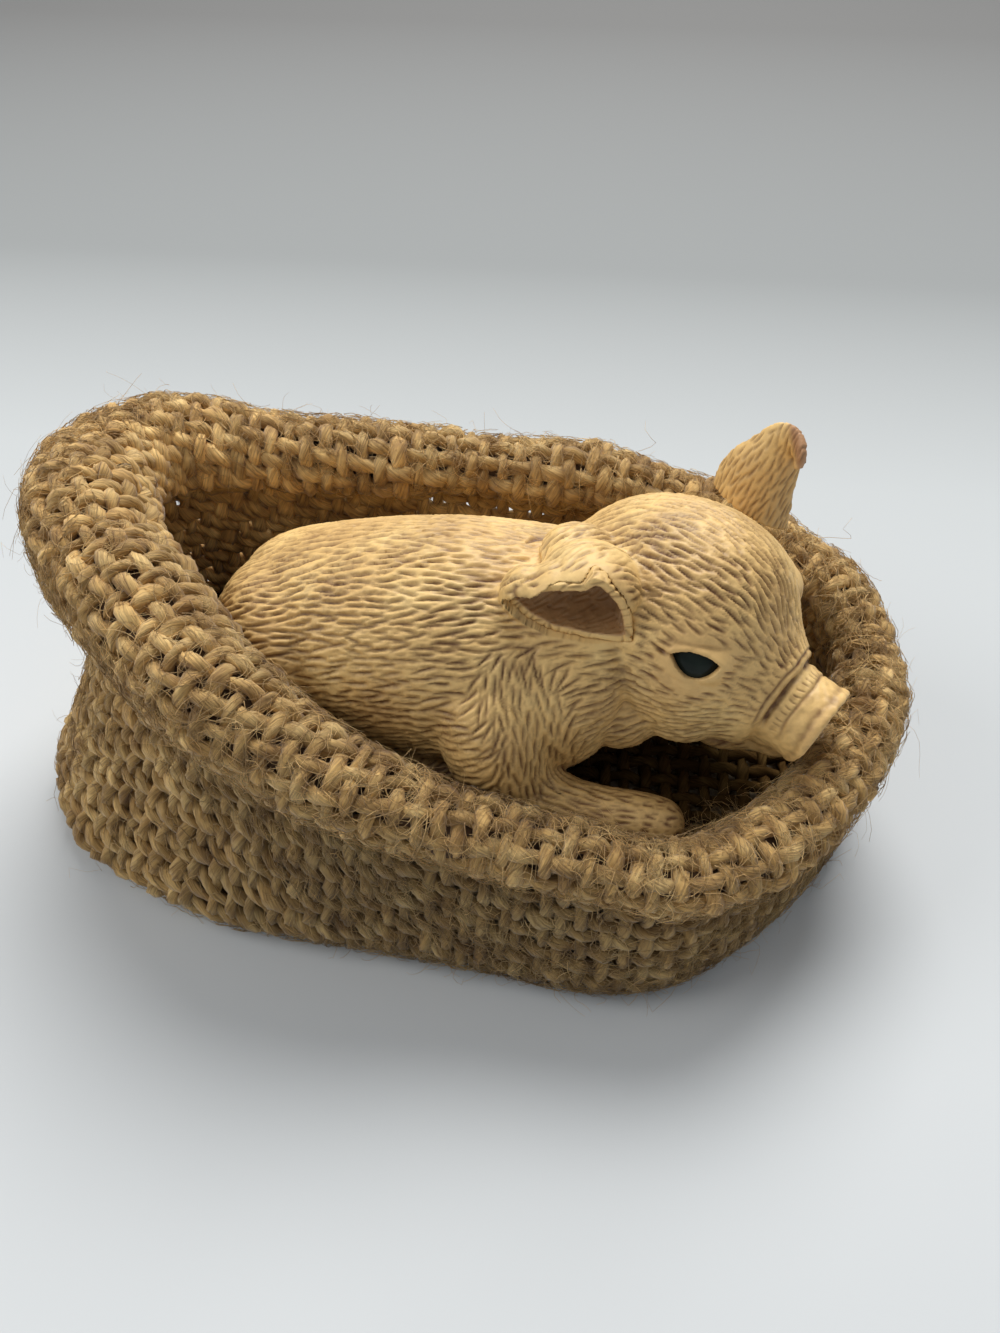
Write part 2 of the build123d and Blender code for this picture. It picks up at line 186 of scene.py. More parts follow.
# %% Painted resin
def resin_material():
    material, tree, shader = new_material("painted_resin")
    cloud = noise_node(tree, object_place(tree), 130.0, 3.0, 0.6)
    grain = noise_node(tree, object_place(tree), 1500.0, 2.0, 0.6)
    coat = ramp(tree, cloud, [
        (0.30, (0.690, 0.430, 0.158)), (0.52, (0.790, 0.515, 0.194)), (0.72, (0.860, 0.600, 0.246)),
    ])
    pink = blend_colours(tree, attribute_node(tree, "blush"), coat, (0.430, 0.215, 0.110))
    speck = add_node(tree, "ShaderNodeMath", {0: grain, 1: 0.5}, operation="SUBTRACT").outputs[0]
    # The dark brown is laid on by an attribute that holds both the wash in the grooves and painted shade.
    spots = {0: speck, 1: 0.5, 2: attribute_node(tree, "wash_and_shade")}
    amount = add_node(tree, "ShaderNodeMath", spots, operation="MULTIPLY_ADD", use_clamp=True).outputs[0]
    colour = blend_colours(tree, amount, pink, (0.160, 0.070, 0.023))
    looks = {"Roughness": 0.52, "Specular IOR Level": 0.42}
    finish_look(tree, shader, colour, looks, (grain, 0.35, 0.00008))
    return material


painted_resin = resin_material()
eye_enamel = mottled_material(
    "eye_enamel", (600.0, 1.0), (0.004, 0.006, 0.005), (0.014, 0.020, 0.016),
    {"Roughness": 0.16, "Specular IOR Level": 0.10, "Coat Weight": 0.02, "Coat Roughness": 0.05},
)

# %% [markdown]
# ## The shape of the sack
# The sack is one strip of hessian. It rises from the floor, leans in, and its mouth is rolled
# outward. The same stations as in the solids give the middle of the roll round the mouth, and a
# path in each station's upright plane gives the cloth: up the wall, up the inside of the roll, over
# it and down its outside. Distances along that path are counted from the tucked end, so yarn rows
# keep their spacing on the cuff, where they show most.

# %% Stations of the mouth
mouth_length, mouth_depth, mouth_height = 84.0, 46.0, 35.0
roll_thickness, foot_spread = 7.6, 12.0
foot_round, foot_inset, cloth_thickness = 3.5, 2.2, 2.0
mouth_shares = np.array([
    (-0.478, 0.165, 1.000, 1.70, 0.96),
    (-0.433, 0.032, 0.980, 1.68, 1.20),
    (-0.363, -0.102, 0.943, 1.64, 1.14),
    (-0.262, -0.255, 0.871, 1.50, 0.80),
    (-0.154, -0.345, 0.757, 1.29, 0.50),
    (-0.041, -0.394, 0.657, 1.08, 0.36),
    (0.071, -0.412, 0.586, 0.97, 0.35),
    (0.185, -0.437, 0.543, 0.92, 0.36),
    (0.285, -0.435, 0.523, 0.92, 0.20),
    (0.386, -0.312, 0.531, 0.97, 0.14),
    (0.470, -0.130, 0.551, 1.03, 0.16),
    (0.508, 0.045, 0.586, 1.00, 0.22),
    (0.505, 0.211, 0.643, 0.97, 0.30),
    (0.458, 0.365, 0.709, 0.97, 0.29),
    (0.345, 0.490, 0.771, 1.00, 0.29),
    (0.185, 0.555, 0.843, 1.03, 0.26),
    (0.016, 0.560, 0.886, 1.03, 0.29),
    (-0.130, 0.530, 0.914, 1.08, 0.35),
    (-0.262, 0.505, 0.943, 1.18, 0.38),
    (-0.378, 0.470, 0.980, 1.37, 0.35),
    (-0.448, 0.405, 1.000, 1.52, 0.38),
    (-0.482, 0.300, 1.009, 1.64, 0.62),
])
wall_shares = [(0.00, 1.00), (0.22, 0.74), (0.50, 0.42), (0.78, 0.16), (1.00, 0.00)]


def catmull_rom(p0, p1, p2, p3, share):
    """Places between p1 and p2, on a smooth line through all four."""
    bend = 2 * p0 - 5 * p1 + 4 * p2 - p3
    twist = 3 * p1 - p0 - 3 * p2 + p3
    return 0.5 * (2 * p1 + (p2 - p0) * share + bend * share**2 + twist * share**3)


def cyclic_spline(rows, count):
    """Samples of rows that close on themselves."""
    t = np.arange(count) * len(rows) / count
    index = t.astype(int)
    around = (rows[(index + k) % len(rows)] for k in (-1, 0, 1, 2))
    return catmull_rom(*around, (t - index)[:, None])


def open_spline(points, count):
    """Samples of points with two free ends, at even distances."""
    padded = np.vstack([2 * points[:1] - points[1:2], points, 2 * points[-1:] - points[-2:-1]])
    share = np.linspace(0, 1, 16, endpoint=False)[:, None]
    fine = [catmull_rom(*padded[k : k + 4], share) for k in range(len(points) - 1)]
    fine = np.vstack(fine + [points[-1:]])
    reach = np.concatenate([[0], np.cumsum(np.linalg.norm(np.diff(fine, axis=0), axis=1))])
    want = np.linspace(0, reach[-1], count)
    return np.stack([np.interp(want, reach, fine[:, k]) for k in range(fine.shape[1])], axis=1), reach[-1]


round_count = 880
mouth_sizes = [mouth_length, mouth_depth, mouth_height, roll_thickness / 2, foot_spread]
stations = cyclic_spline(mouth_shares, round_count) * mouth_sizes
run = np.roll(stations, -8, axis=0)[:, :2] - np.roll(stations, 8, axis=0)[:, :2]
outward = np.stack([run[:, 1], -run[:, 0]], axis=1) / np.linalg.norm(run, axis=1)[:, None]
print("stations", stations.shape, "mouth height", stations[:, 2].min().round(1), stations[:, 2].max().round(1))

# %% Path of the cloth at each station
yarn_radius = 0.62
weave_depth = 0.42
cloth_reach = yarn_radius + weave_depth
path_step, path_points = 0.25, 400
tuck_angle, outer_angle, roll_slack = -112, 205, 0.25


def cloth_path(middle_z, radius, lean):
    """(out, height) of the cloth's middle from the tucked end over the roll and down to the foot."""
    ring = radius - cloth_reach + roll_slack
    turns = np.radians(np.linspace(tuck_angle, outer_angle, 12))
    points = [(ring * math.cos(a), middle_z + ring * math.sin(a)) for a in turns]
    top = middle_z - radius / 2
    top_out = cloth_thickness - radius / 3
    for share, out in wall_shares[::-1]:
        height = foot_round + (top - foot_round) * share
        height = height - (0.8 if share == 1 else 0)
        points.append((top_out + (lean - top_out) * out - cloth_thickness / 2, height))
    points.append((lean - foot_inset / 2 - cloth_thickness / 2, cloth_reach + 0.3))
    points.append((lean - foot_inset - cloth_thickness * 1.6, cloth_reach))
    return np.array(points)


paths = [open_spline(cloth_path(*station[2:]), path_points) for station in stations]
cloth_length = np.array([reach for _, reach in paths])
columns = int(cloth_length.max() / path_step) + 2
cloth = np.zeros((round_count, columns, 3))
for i, (line, reach) in enumerate(paths):
    want = np.minimum(np.arange(columns) * path_step, reach)
    out, up = (np.interp(want, np.linspace(0, reach, path_points), line[:, k]) for k in (0, 1))
    cloth[i, :, :2] = stations[i, :2] + outward[i] * out[:, None]
    cloth[i, :, 2] = up


def drift_noise(points, size, seed):
    """A smooth value from about -1 to 1 that changes over the given size, from summed waves."""
    waves = np.random.default_rng(seed)
    total = np.zeros(points.shape[:-1])
    for _ in range(7):
        way = waves.normal(size=3)
        way *= 2 * math.pi / (size * np.linalg.norm(way)) * waves.uniform(0.7, 1.4)
        total += np.sin(points @ way + waves.uniform(0, 2 * math.pi))
    return total / 3.2


def cloth_normals(surface):
    """Unit normals that point away from the roll's middle."""
    round_way = np.roll(surface, -3, axis=0) - np.roll(surface, 3, axis=0)
    down_way = np.gradient(surface, axis=1)
    normal = np.cross(down_way, round_way)
    size = np.linalg.norm(normal, axis=2, keepdims=True)
    return normal / np.maximum(size, 1e-9)


normals = cloth_normals(cloth)
middle = stations[:, :3]
if np.sum((cloth[:, 40] - middle) * normals[:, 40]) < 0:
    normals = -normals
ripple = drift_noise(cloth, 14.0, 3) * 0.30 + drift_noise(cloth, 5.0, 4) * 0.16
height_fade = np.clip((cloth[..., 2] - 1.5) / 4, 0, 1)
cloth = cloth + normals * (ripple * height_fade)[..., None]
print("cloth length", cloth_length.min().round(1), cloth_length.max().round(1))


# %% [markdown]
# ## Yarn
# Hessian is a plain weave: each warp goes over one weft and under the next. A yarn here is a curve
# with a soft three-lobed section that turns slowly along it, which gives the lazy twist of jute.
# Curves make the tubes fast, and the result is turned into a mesh, so that each vertex can know
# how far along and round its yarn it lies.

# %% Tube maker
def place_object(name, data):
    """A new object in the scene."""
    made = bpy.data.objects.new(name, data)
    bpy.context.scene.collection.objects.link(made)
    return made


def lobed_profile(sides, lobes, depth):
    """Closed outline of a yarn of radius 1 mm, with a few larger and many smaller strands."""
    data = bpy.data.curves.new("profile", "CURVE")
    line = data.splines.new("POLY")
    line.points.add(sides - 1)
    for index, point in enumerate(line.points):
        angle = 2 * math.pi * index / sides
        swell = math.cos(lobes * angle) + 0.5 * math.cos((lobes + 2) * angle + 1)
        reach = (1 + depth * swell) * millimetre
        point.co = (math.cos(angle) * reach, math.sin(angle) * reach, 0, 1)
    line.use_cyclic_u = True
    return place_object("profile", data)


def finish_piece(name, mesh, material, body):
    """Puts a finished mesh in the scene on a body."""
    piece = place_object(name, mesh)
    mesh.materials.clear()
    mesh.materials.append(material)
    mesh.polygons.foreach_set("use_smooth", np.ones(len(mesh.polygons), bool))
    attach(piece, body)
    print(name, "triangles", sum(len(p.vertices) - 2 for p in mesh.polygons))
    return piece


def tubes(name, lines, sides=10, lobes=3, depth=0.13):
    """One mesh of many tubes. Each line is (points, radii, tilts, shade), in millimetres."""
    data = bpy.data.curves.new(name, "CURVE")
    data.dimensions = "3D"
    profile = lobed_profile(sides, lobes, depth)
    data.bevel_mode = "OBJECT"
    data.bevel_object = profile
    fibre, shades = [], []
    for points, radii, tilts, shade in lines:
        line = data.splines.new("POLY")
        count = len(points)
        line.points.add(count - 1)
        line.points.foreach_set("co", np.column_stack([points * millimetre, np.ones(count)]).ravel())
        line.points.foreach_set("radius", np.asarray(radii, float))
        line.points.foreach_set("tilt", np.asarray(tilts, float))
        reach = np.concatenate([[0], np.cumsum(np.linalg.norm(np.diff(points, axis=0), axis=1))])
        start = 37.0 * len(fibre)
        angle = 2 * math.pi * np.arange(sides) / sides
        ring = np.zeros((count, sides, 3))
        ring[..., 0] = (reach + start)[:, None]
        ring[..., 1] = np.cos(angle)
        ring[..., 2] = np.sin(angle)
        fibre.append(ring.reshape(-1, 3))
        shades.append(np.repeat(np.broadcast_to(shade, count), sides))
    holder = place_object(name, data)
    graph = bpy.context.evaluated_depsgraph_get()
    mesh = bpy.data.meshes.new_from_object(holder.evaluated_get(graph))
    mesh.name = name
    for used in (holder, profile):
        bpy.data.objects.remove(used)
    fibre = np.vstack(fibre)
    if len(fibre) != len(mesh.vertices):
        raise ValueError(f"{name}: {len(mesh.vertices)} vertices for {len(fibre)} places")
    mesh.attributes.new("fibre", "FLOAT_VECTOR", "POINT").data.foreach_set("vector", fibre.ravel())
    mesh.attributes.new("shade", "FLOAT", "POINT").data.foreach_set("value", np.concatenate(shades))
    capped = bmesh.new()
    capped.from_mesh(mesh)
    open_edges = [edge for edge in capped.edges if edge.is_boundary]
    if open_edges:
        bmesh.ops.holes_fill(capped, edges=open_edges, sides=0)
    bmesh.ops.recalc_face_normals(capped, faces=capped.faces)
    capped.to_mesh(mesh)
    capped.free()
    return mesh

def yarn_piece(name, lines, slot, *replaced, material=golden_jute, **section):
    """A piece of the sack that is made of yarns or fibres."""
    piece = finish_piece(name, tubes(name, lines, **section), material, "sack")
    if replaced:
        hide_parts(*replaced)


# %% Places on the cloth
row_pitch = 2.15
first_row = 1.0
warp_count = 106
step_round = np.linalg.norm(np.roll(middle, -1, axis=0) - middle, axis=1)
round_place = np.concatenate([[0], np.cumsum(step_round)])
round_place = round_place / round_place[-1] * warp_count


def cloth_point(around, down):
    """Point and normal at a float station index and a distance down the path."""
    i0 = np.floor(around).astype(int)
    f = (around - i0)[:, None]
    j = np.clip(down / path_step, 0, columns - 1.001)
    j0 = j.astype(int)
    g = (j - j0)[:, None]
    ia, ib = i0 % round_count, (i0 + 1) % round_count
    found = []
    for grid in (cloth, normals):
        near = grid[ia, j0] * (1 - g) + grid[ia, j0 + 1] * g
        far = grid[ib, j0] * (1 - g) + grid[ib, j0 + 1] * g
        found.append(near * (1 - f) + far * f)
    return found


def wander(count, spacing, size, seed):
    """Smooth random values along a yarn, about -1 to 1."""
    source = np.random.default_rng(seed)
    reach = np.arange(count) * spacing
    knots = source.uniform(-1, 1, int(reach[-1] / size) + 3)
    place = reach / size
    k = place.astype(int)
    f = place - k
    f = f * f * (3 - 2 * f)
    return knots[k] * (1 - f) + knots[k + 1] * f


roll_arc = np.radians(outer_angle - tuck_angle) * (stations[:, 3] - cloth_reach + roll_slack)


def cuff_share(around, down):
    """1 on the cuff and 0 on the wall, with a soft change under the roll."""
    arc = roll_arc[np.floor(around).astype(int) % round_count]
    return 1 / (1 + np.exp((down - arc * 0.72) / 1.2))


def painted_yarn_light(point, cuff):
    """Painted light and shade on the yarns: lighter on the cuff, and on both ends and the rear of the wall than on
    its front.
    """
    x, y = point[:, 0], point[:, 1]
    wall = 0.58 + 0.16 * smooth_step(x, 10, 35) + 0.40 * smooth_step(-x, 8, 40) + 0.42 * smooth_step(y, 4, 20)
    roll = 1.02 + 0.10 * smooth_step(-x, 0, 35) + 0.13 * smooth_step(x, 15, 35)
    return wall * (1 - cuff) + roll * cuff


def yarn_share(point, cuff):
    """Thickness of a yarn, more at the rear of the wall, whose gaps would let the light through."""
    return 1.07 + 0.01 * cuff + 0.26 * smooth_step(point[:, 1], 4, 12) * (1 - cuff)


def unit(vectors):
    return vectors / np.maximum(np.linalg.norm(vectors, axis=-1, keepdims=True), 1e-9)


def smooth_step(values, low, high):
    share = np.clip((values - low) / (high - low), 0, 1)
    return share * share * (3 - 2 * share)


# %% Warps
yarn_step = 0.5
twist_length = 7.0
warps = []
for i in range(warp_count):
    around = np.interp(i + rng.uniform(-0.12, 0.12), round_place, np.arange(round_count + 1))
    reach = cloth_length[int(around) % round_count]
    down = np.arange(0.2, reach - 0.1, yarn_step)
    places = np.full(len(down), around) + wander(len(down), yarn_step, 4.5, 100 + i) * 1.25
    point, normal = cloth_point(places, down)
    cuff = cuff_share(places, down)
    swing = weave_depth * (1 + 0.25 * wander(len(down), yarn_step, 6, 300 + i))
    wave = swing * np.cos(math.pi * (down - first_row) / row_pitch) * (-1) ** i
    point = point + normal * wave[:, None]
    size = yarn_radius * rng.uniform(0.84, 1.18) * (1 + 0.22 * wander(len(down), yarn_step, 2.6, 500 + i))
    size = size * yarn_share(point, cuff)
    tilt = 2 * math.pi * down / twist_length + rng.uniform(0, 6)
    # The tone is painted light and shade for the yarn's place, times the yarn's own random tone.
    tone = painted_yarn_light(point, cuff) * rng.uniform(0.82, 1.16)
    tone = tone * (1 + 0.10 * wander(len(down), yarn_step, 8, 700 + i))
    warps.append((point, size, tilt, tone))
print("warps", len(warps), "points", sum(len(w[0]) for w in warps))

# %% Wefts
wefts_cuff, wefts_wall = [], []
cuff_rows = 12
row_count = int(cloth_length.max() / row_pitch)
sample = np.arange(0, round_count, 2).astype(float)
spacing = step_round.sum() / len(sample)
for k in range(row_count):
    down = first_row + k * row_pitch + 0.28 * wander(len(sample), spacing, 5.0, 900 + k)
    down = down + rng.uniform(-0.12, 0.12)
    down[-12:] += (down[0] - down[-1]) * np.linspace(0, 1, 12)
    place = np.interp(sample, np.arange(round_count + 1), round_place)
    point, normal = cloth_point(sample, down)
    cuff = cuff_share(sample, down)
    swing = weave_depth * (1 + 0.25 * wander(len(sample), spacing, 6, 1100 + k))
    point = point - normal * (swing * np.cos(math.pi * place) * (-1) ** k)[:, None]
    size = yarn_radius * rng.uniform(0.86, 1.18) * (1 + 0.22 * wander(len(sample), spacing, 2.6, 1300 + k))
    size = size * yarn_share(point, cuff)
    tilt = 2 * math.pi * sample * spacing / 2 / twist_length
    # The tone is painted light and shade for the yarn's place, times the yarn's own random tone.
    tone = painted_yarn_light(point, cuff) * rng.uniform(0.84, 1.14)
    tone = tone * (1 + 0.10 * wander(len(sample), spacing, 8, 1500 + k))
    whole = down < cloth_length[sample.astype(int)] - 0.3
    if whole.all():
        target = wefts_cuff if k < cuff_rows else wefts_wall
        loop = np.append(np.arange(len(sample)), [0, 1])
        target.append((point[loop], size[loop], tilt[loop], tone[loop]))
        continue
    edges = np.flatnonzero(np.diff(whole.astype(int)))
    start = edges[0] + 1
    order = (np.arange(len(sample)) + start) % len(sample)
    groups = np.split(order, np.flatnonzero(np.diff(whole[order].astype(int))) + 1)
    for group in groups:
        if whole[group[0]] and len(group) > 6:
            wefts_wall.append((point[group], size[group], tilt[group], tone[group]))
print("wefts", len(wefts_cuff), len(wefts_wall), "points", sum(len(w[0]) for w in wefts_cuff + wefts_wall))

# %% Yarn pieces
half_round = warp_count // 2
yarn_piece("hessian_front_warps", warps[:half_round], "hessian_wall", "front_panel")
yarn_piece("hessian_rear_warps", warps[half_round:], "hessian_wall", "rear_panel")
yarn_piece("hessian_cuff_wefts", wefts_cuff, "hessian_cuff")
yarn_piece("hessian_wall_wefts", wefts_wall, "hessian_wall")

# %% [markdown]
# Jute is hairy. Loose fibre ends stand off every yarn, some lie flat across the weave, and a pale
# tuft of them is caught between the piglet's foot and the front of the roll. Each is a hair of a
# few hundredths of a millimetre, so its tube has only three sides.

# %% Stray fibres
standing_share = 0.05
hair = {"sides": 3, "depth": 0}


def tapered(point, size, tones):
    """Hairs as lines for tubes, half as thick at the far end."""
    taper = np.linspace(1, 0.5, point.shape[1])
    return [(line, width * taper, np.zeros(len(taper)), tone) for line, width, tone in zip(point, size, tones)]


def tuft_fibres(start, ahead_way, normal, reach, lift, tone, seed, bend, radius):
    """Curved hairs from places in the air, most of which bend back down."""
    picker = np.random.default_rng(seed)
    count, points = len(start), 8
    side_way = np.cross(normal, ahead_way)
    standing = picker.uniform(0, 1, count) < standing_share
    reach = np.where(standing, np.minimum(reach * 1.1, 6.0), reach)
    s = np.linspace(0, 1, points)[None, :] * reach[:, None]
    heading = picker.normal(0, 0.6, count)[:, None] + picker.normal(0, bend, count)[:, None] * s
    heading = heading + picker.normal(0, 0.10, count)[:, None] * s**2
    climb = (np.abs(picker.normal(0, lift, count)) + standing * picker.uniform(0.3, 0.9, count))[:, None]
    climb = climb * (1 - s / reach[:, None] * picker.uniform(0.9, 2.4, count)[:, None])
    flat = np.cos(heading)[..., None] * ahead_way[:, None] + np.sin(heading)[..., None] * side_way[:, None]
    way = np.cos(climb)[..., None] * flat + np.sin(climb)[..., None] * normal[:, None]
    step = (reach / (points - 1))[:, None, None]
    point = start[:, None] + np.cumsum(way, axis=1) * step - way[:, :1] * step
    size = radius * np.where(standing, 0.6, 1.0) * picker.uniform(0.6, 1.3, count)
    return tapered(point, size, tone * np.where(standing, 1.3, picker.uniform(0.75, 1.3, count)))


def cloth_fibres(count, low, high, slope, tone, seed, face):
    """Hairs that lie on the yarns between two distances down the cloth, with a few that stand."""
    picker = np.random.default_rng(seed)
    points = 7
    reach = np.minimum(1.4 + picker.gamma(2.0, 0.85, count), 6.0)
    s = np.linspace(0, 1, points)[None, :] * reach[:, None]
    heading = picker.choice(4, count) * math.pi / 2 + picker.normal(0, 0.45, count)
    bend, curl = (picker.normal(0, much, count)[:, None] for much in (0.42, 0.09))
    heading = heading[:, None] + bend * s + curl * s**2
    step = (reach / (points - 1))[:, None]
    around = picker.uniform(0, round_count, count)
    end = cloth_length[around.astype(int)] - 1.0
    down = np.minimum(picker.uniform(low, high, count), end - 2.0)
    station = np.linalg.norm(cloth_point(around + 1, down)[0] - cloth_point(around, down)[0], axis=1)
    around = around[:, None] + np.cumsum(np.cos(heading), axis=1) * step / station[:, None]
    down = down[:, None] + np.cumsum(np.sin(heading), axis=1) * step
    down = down + np.minimum(end - down.max(axis=1), 0)[:, None]
    down = down + np.maximum(1.0 - down.min(axis=1), 0)[:, None]
    point, normal = cloth_point(around.ravel(), down.ravel())
    standing = picker.uniform(0, 1, count) < standing_share
    height = yarn_radius + weave_depth * picker.uniform(0.1, 1.5, count)[:, None]
    height = height + picker.normal(0, 0.05, (count, points))
    climb = np.where(standing, picker.uniform(0.2, 0.75, count), np.abs(picker.normal(0, slope, count)))
    height = height + climb[:, None] * s
    point = (point + normal * face * height.reshape(-1, 1)).reshape(count, points, 3)
    point[..., 2] = np.maximum(point[..., 2], 0.15 + 0.08 * s)
    size = 0.045 * np.where(standing, 0.55, 1.0) * picker.uniform(0.6, 1.3, count)
    return tapered(point, size, tone * np.where(standing, 1.25, picker.uniform(0.75, 1.35, count)))


# On the roll the outer face is where the normals point, and on the wall it is the other way.
hair_count = 4000
roll_reach = float(roll_arc.mean())
# The tone column holds painted light: hairs on the lit cuff are lighter than those on the wall.
for name, low, high, slope, tone, seed, face, slot in (
    ("cuff_top_fibres", 3.0, roll_reach * 0.62, 0.05, 1.50, 3100, 1, "hessian_cuff"),
    ("cuff_side_fibres", roll_reach * 0.45, roll_reach, 0.05, 1.50, 3150, 1, "hessian_cuff"),
    ("wall_upper_fibres", roll_reach, roll_reach + 12, 0.03, 1.04, 3200, -1, "hessian_wall"),
    ("wall_middle_fibres", roll_reach + 6, roll_reach + 22, 0.03, 1.04, 3225, -1, "hessian_wall"),
    ("wall_lower_fibres", roll_reach + 14, 64.0, 0.03, 1.04, 3250, -1, "hessian_wall"),
):
    yarn_piece(name, cloth_fibres(hair_count, low, high, slope, tone, seed, face), slot, **hair)

picker = np.random.default_rng(3300)
tuft_count = 1500
tuft_x = picker.uniform(2, 32, tuft_count)
tuft_y = -20.0 + 0.012 * (tuft_x - 12) ** 2 + picker.uniform(0, 4.5, tuft_count)
tuft_start = np.column_stack([tuft_x, tuft_y, picker.uniform(14.8, 18.2, tuft_count)])
tuft_way = unit(picker.normal(0, 1, (tuft_count, 3)) * [1.0, 0.6, 0.15])
tuft_up = unit(np.cross(tuft_way, np.cross(upward, tuft_way)))
tuft_reach = picker.uniform(2.0, 6.0, tuft_count)
tuft_hairs = tuft_fibres(tuft_start, tuft_way, tuft_up, tuft_reach, 0.15, 1.50, 3301, 0.35, 0.022)
yarn_piece("foot_tuft", tuft_hairs, "hessian_inner", **hair)

# %% [markdown]
# Each side seam is a row of stitches in a thicker thread. A stitch lies level on the inside of the
# wall, and its two ends dip into the cloth.

# %% Seam threads
def copy_of(*nodes):
    """A merged bmesh copy of CAD nodes."""
    copied = bmesh.new()
    for node in nodes:
        copied.from_mesh(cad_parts[node].data)
    bmesh.ops.remove_doubles(copied, verts=copied.verts, dist=2e-6)
    return copied

def mesh_from(name, form):
    """A mesh of a bmesh, which is freed."""
    mesh = bpy.data.meshes.new(name)
    form.to_mesh(mesh)
    form.free()
    return mesh


def push_out(form, reach):
    """Moves each vertex along its normal, in millimetres."""
    form.normal_update()
    for vertex in form.verts:
        vertex.co += vertex.normal * reach * millimetre


def separate_parts(node):
    """Vertices of each connected part of a CAD node, in millimetres."""
    whole = copy_of(node)
    left = set(whole.verts)
    groups = []
    while left:
        group, queue = [], [left.pop()]
        while queue:
            vertex = queue.pop()
            group.append(vertex.co[:])
            for edge in vertex.link_edges:
                other = edge.other_vert(vertex)
                if other in left:
                    left.remove(other)
                    queue.append(other)
        groups.append(np.array(group) / millimetre)
    whole.free()
    return groups


for word in ("left", "right"):
    threads = []
    for group in separate_parts(f"{word}_seam_stitches"):
        middle_place = group.mean(axis=0)
        level = np.linalg.svd(group - middle_place)[2][0]
        half = np.abs((group - middle_place) @ level).max()
        wall_way = np.array([math.copysign(1, middle_place[0]), 0, 0])
        t = np.linspace(-1, 1, 11)[:, None]
        line = middle_place + level * t * half * 1.1 + wall_way * 1.1 * np.abs(t) ** 3
        line = line - np.array([0, 0, 0.3]) * t
        size = 0.42 * (1 - 0.25 * np.abs(t[:, 0]) ** 4)
        threads.append((line, size, 5.0 * t[:, 0], 1.05 * rng.uniform(0.9, 1.1)))
    thread = {"sides": 16, "lobes": 2, "depth": 0.16}
    yarn_piece(f"{word}_seam_threads", threads, "sewing_thread", f"{word}_seam_stitches", **thread)

# %% Core of the roll
core = copy_of("rolled_cuff")
push_out(core, -1.35)
# The core wears painted shade, a dark brown, as it lies in shade between the outer yarns.
roll_core = finish_piece("rolled_cloth_core", mesh_from("rolled_cloth_core", core), shaded_core_jute, "sack")
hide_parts("rolled_cuff")

# %% [markdown]
# The hessian that is folded in over the filling, and the floor under it, are level plain weaves cut
# to the outline inside the wall.

# %% Level weaves
def wall_outline(height, inset):
    """Level outline of the cloth at a height on the wall, moved in."""
    outline = []
    for i in range(0, round_count, 4):
        last = int(cloth_length[i] / path_step)
        column = cloth[i, :last]
        below = np.flatnonzero(column[:, 2] > height)[-1]
        outline.append(column[below, :2] - outward[i] * inset)
    return np.array(outline)


def inside(points, outline):
    """Which points lie in a closed outline."""
    x, y = points[:, 0, None], points[:, 1, None]
    x0, y0 = outline[:, 0], outline[:, 1]
    x1, y1 = np.roll(x0, -1), np.roll(y0, -1)
    crosses = ((y0 > y) != (y1 > y)) & (x < (x1 - x0) * (y - y0) / (y1 - y0 + 1e-12) + x0)
    return crosses.sum(axis=1) % 2 == 1


def level_weave(height, outline, depth, radius, tone, seed):
    """Yarns both ways at a height, clipped to an outline."""
    low, high = outline.min(axis=0) - 1, outline.max(axis=0) + 1
    lines = []
    for way in (0, 1):
        other = 1 - way
        for k, across in enumerate(np.arange(low[other], high[other], row_pitch)):
            along = np.arange(low[way], high[way], 0.6)
            point = np.zeros((len(along), 3))
            point[:, way] = along
            shift = 0.25 * wander(len(along), 0.6, 5, seed + 40 * way + k)
            point[:, other] = low[other] + k * row_pitch + shift
            sign = 1 if way == 0 else -1
            point[:, 2] = height + sign * depth * np.cos(math.pi * (along - low[way]) / row_pitch) * (-1) ** k
            kept = inside(point, outline)
            runs = np.split(np.arange(len(along)), np.flatnonzero(np.diff(kept.astype(int))) + 1)
            for run in runs:
                if kept[run[0]] and len(run) > 4:
                    size = radius * (1 + 0.14 * wander(len(run), 0.6, 3, seed + 7 * k + way))
                    tilt = 2 * math.pi * along[run] / twist_length
                    lines.append((point[run], size, tilt, tone * rng.uniform(0.85, 1.15)))
    return lines


bed_top = 14.3
inner_lines = level_weave(bed_top - 0.92, wall_outline(13.4, 2.4), 0.36, 0.62, 1.0, 2100)
# The folded-in cloth wears the jute darkened with painted shade.
yarn_piece("inner_hessian", inner_lines, "hessian_inner", "inner_cloth", material=shaded_jute, sides=7)
floor_lines = level_weave(0.95, wall_outline(1.4, 1.2), 0.36, 0.55, 0.70, 2400)
yarn_piece("floor_hessian", floor_lines, "hessian_wall", "sack_floor", sides=6)

# %% Filling
def smooth_skin(name, shape, voxel, rounds):
    """One closed skin round overlapping forms: a voxel remesh, then even smoothing."""
    holder = place_object(name, mesh_from(name, shape))
    remesh = holder.modifiers.new("one skin", "REMESH")
    remesh.mode = "VOXEL"
    remesh.voxel_size = voxel * millimetre
    remesh.adaptivity = 0
    even = holder.modifiers.new("even", "SMOOTH")
    even.factor = 0.5
    even.iterations = rounds
    graph = bpy.context.evaluated_depsgraph_get()
    mesh = bpy.data.meshes.new_from_object(holder.evaluated_get(graph))
    mesh.name = name
    bpy.data.objects.remove(holder)
    return mesh


def vertex_places(mesh):
    places = np.empty(len(mesh.vertices) * 3)
    mesh.vertices.foreach_get("co", places)
    return places.reshape(-1, 3) / millimetre


def vertex_normals(mesh):
    ways = np.empty(len(mesh.vertices) * 3)
    mesh.vertex_normals.foreach_get("vector", ways)
    return ways.reshape(-1, 3)


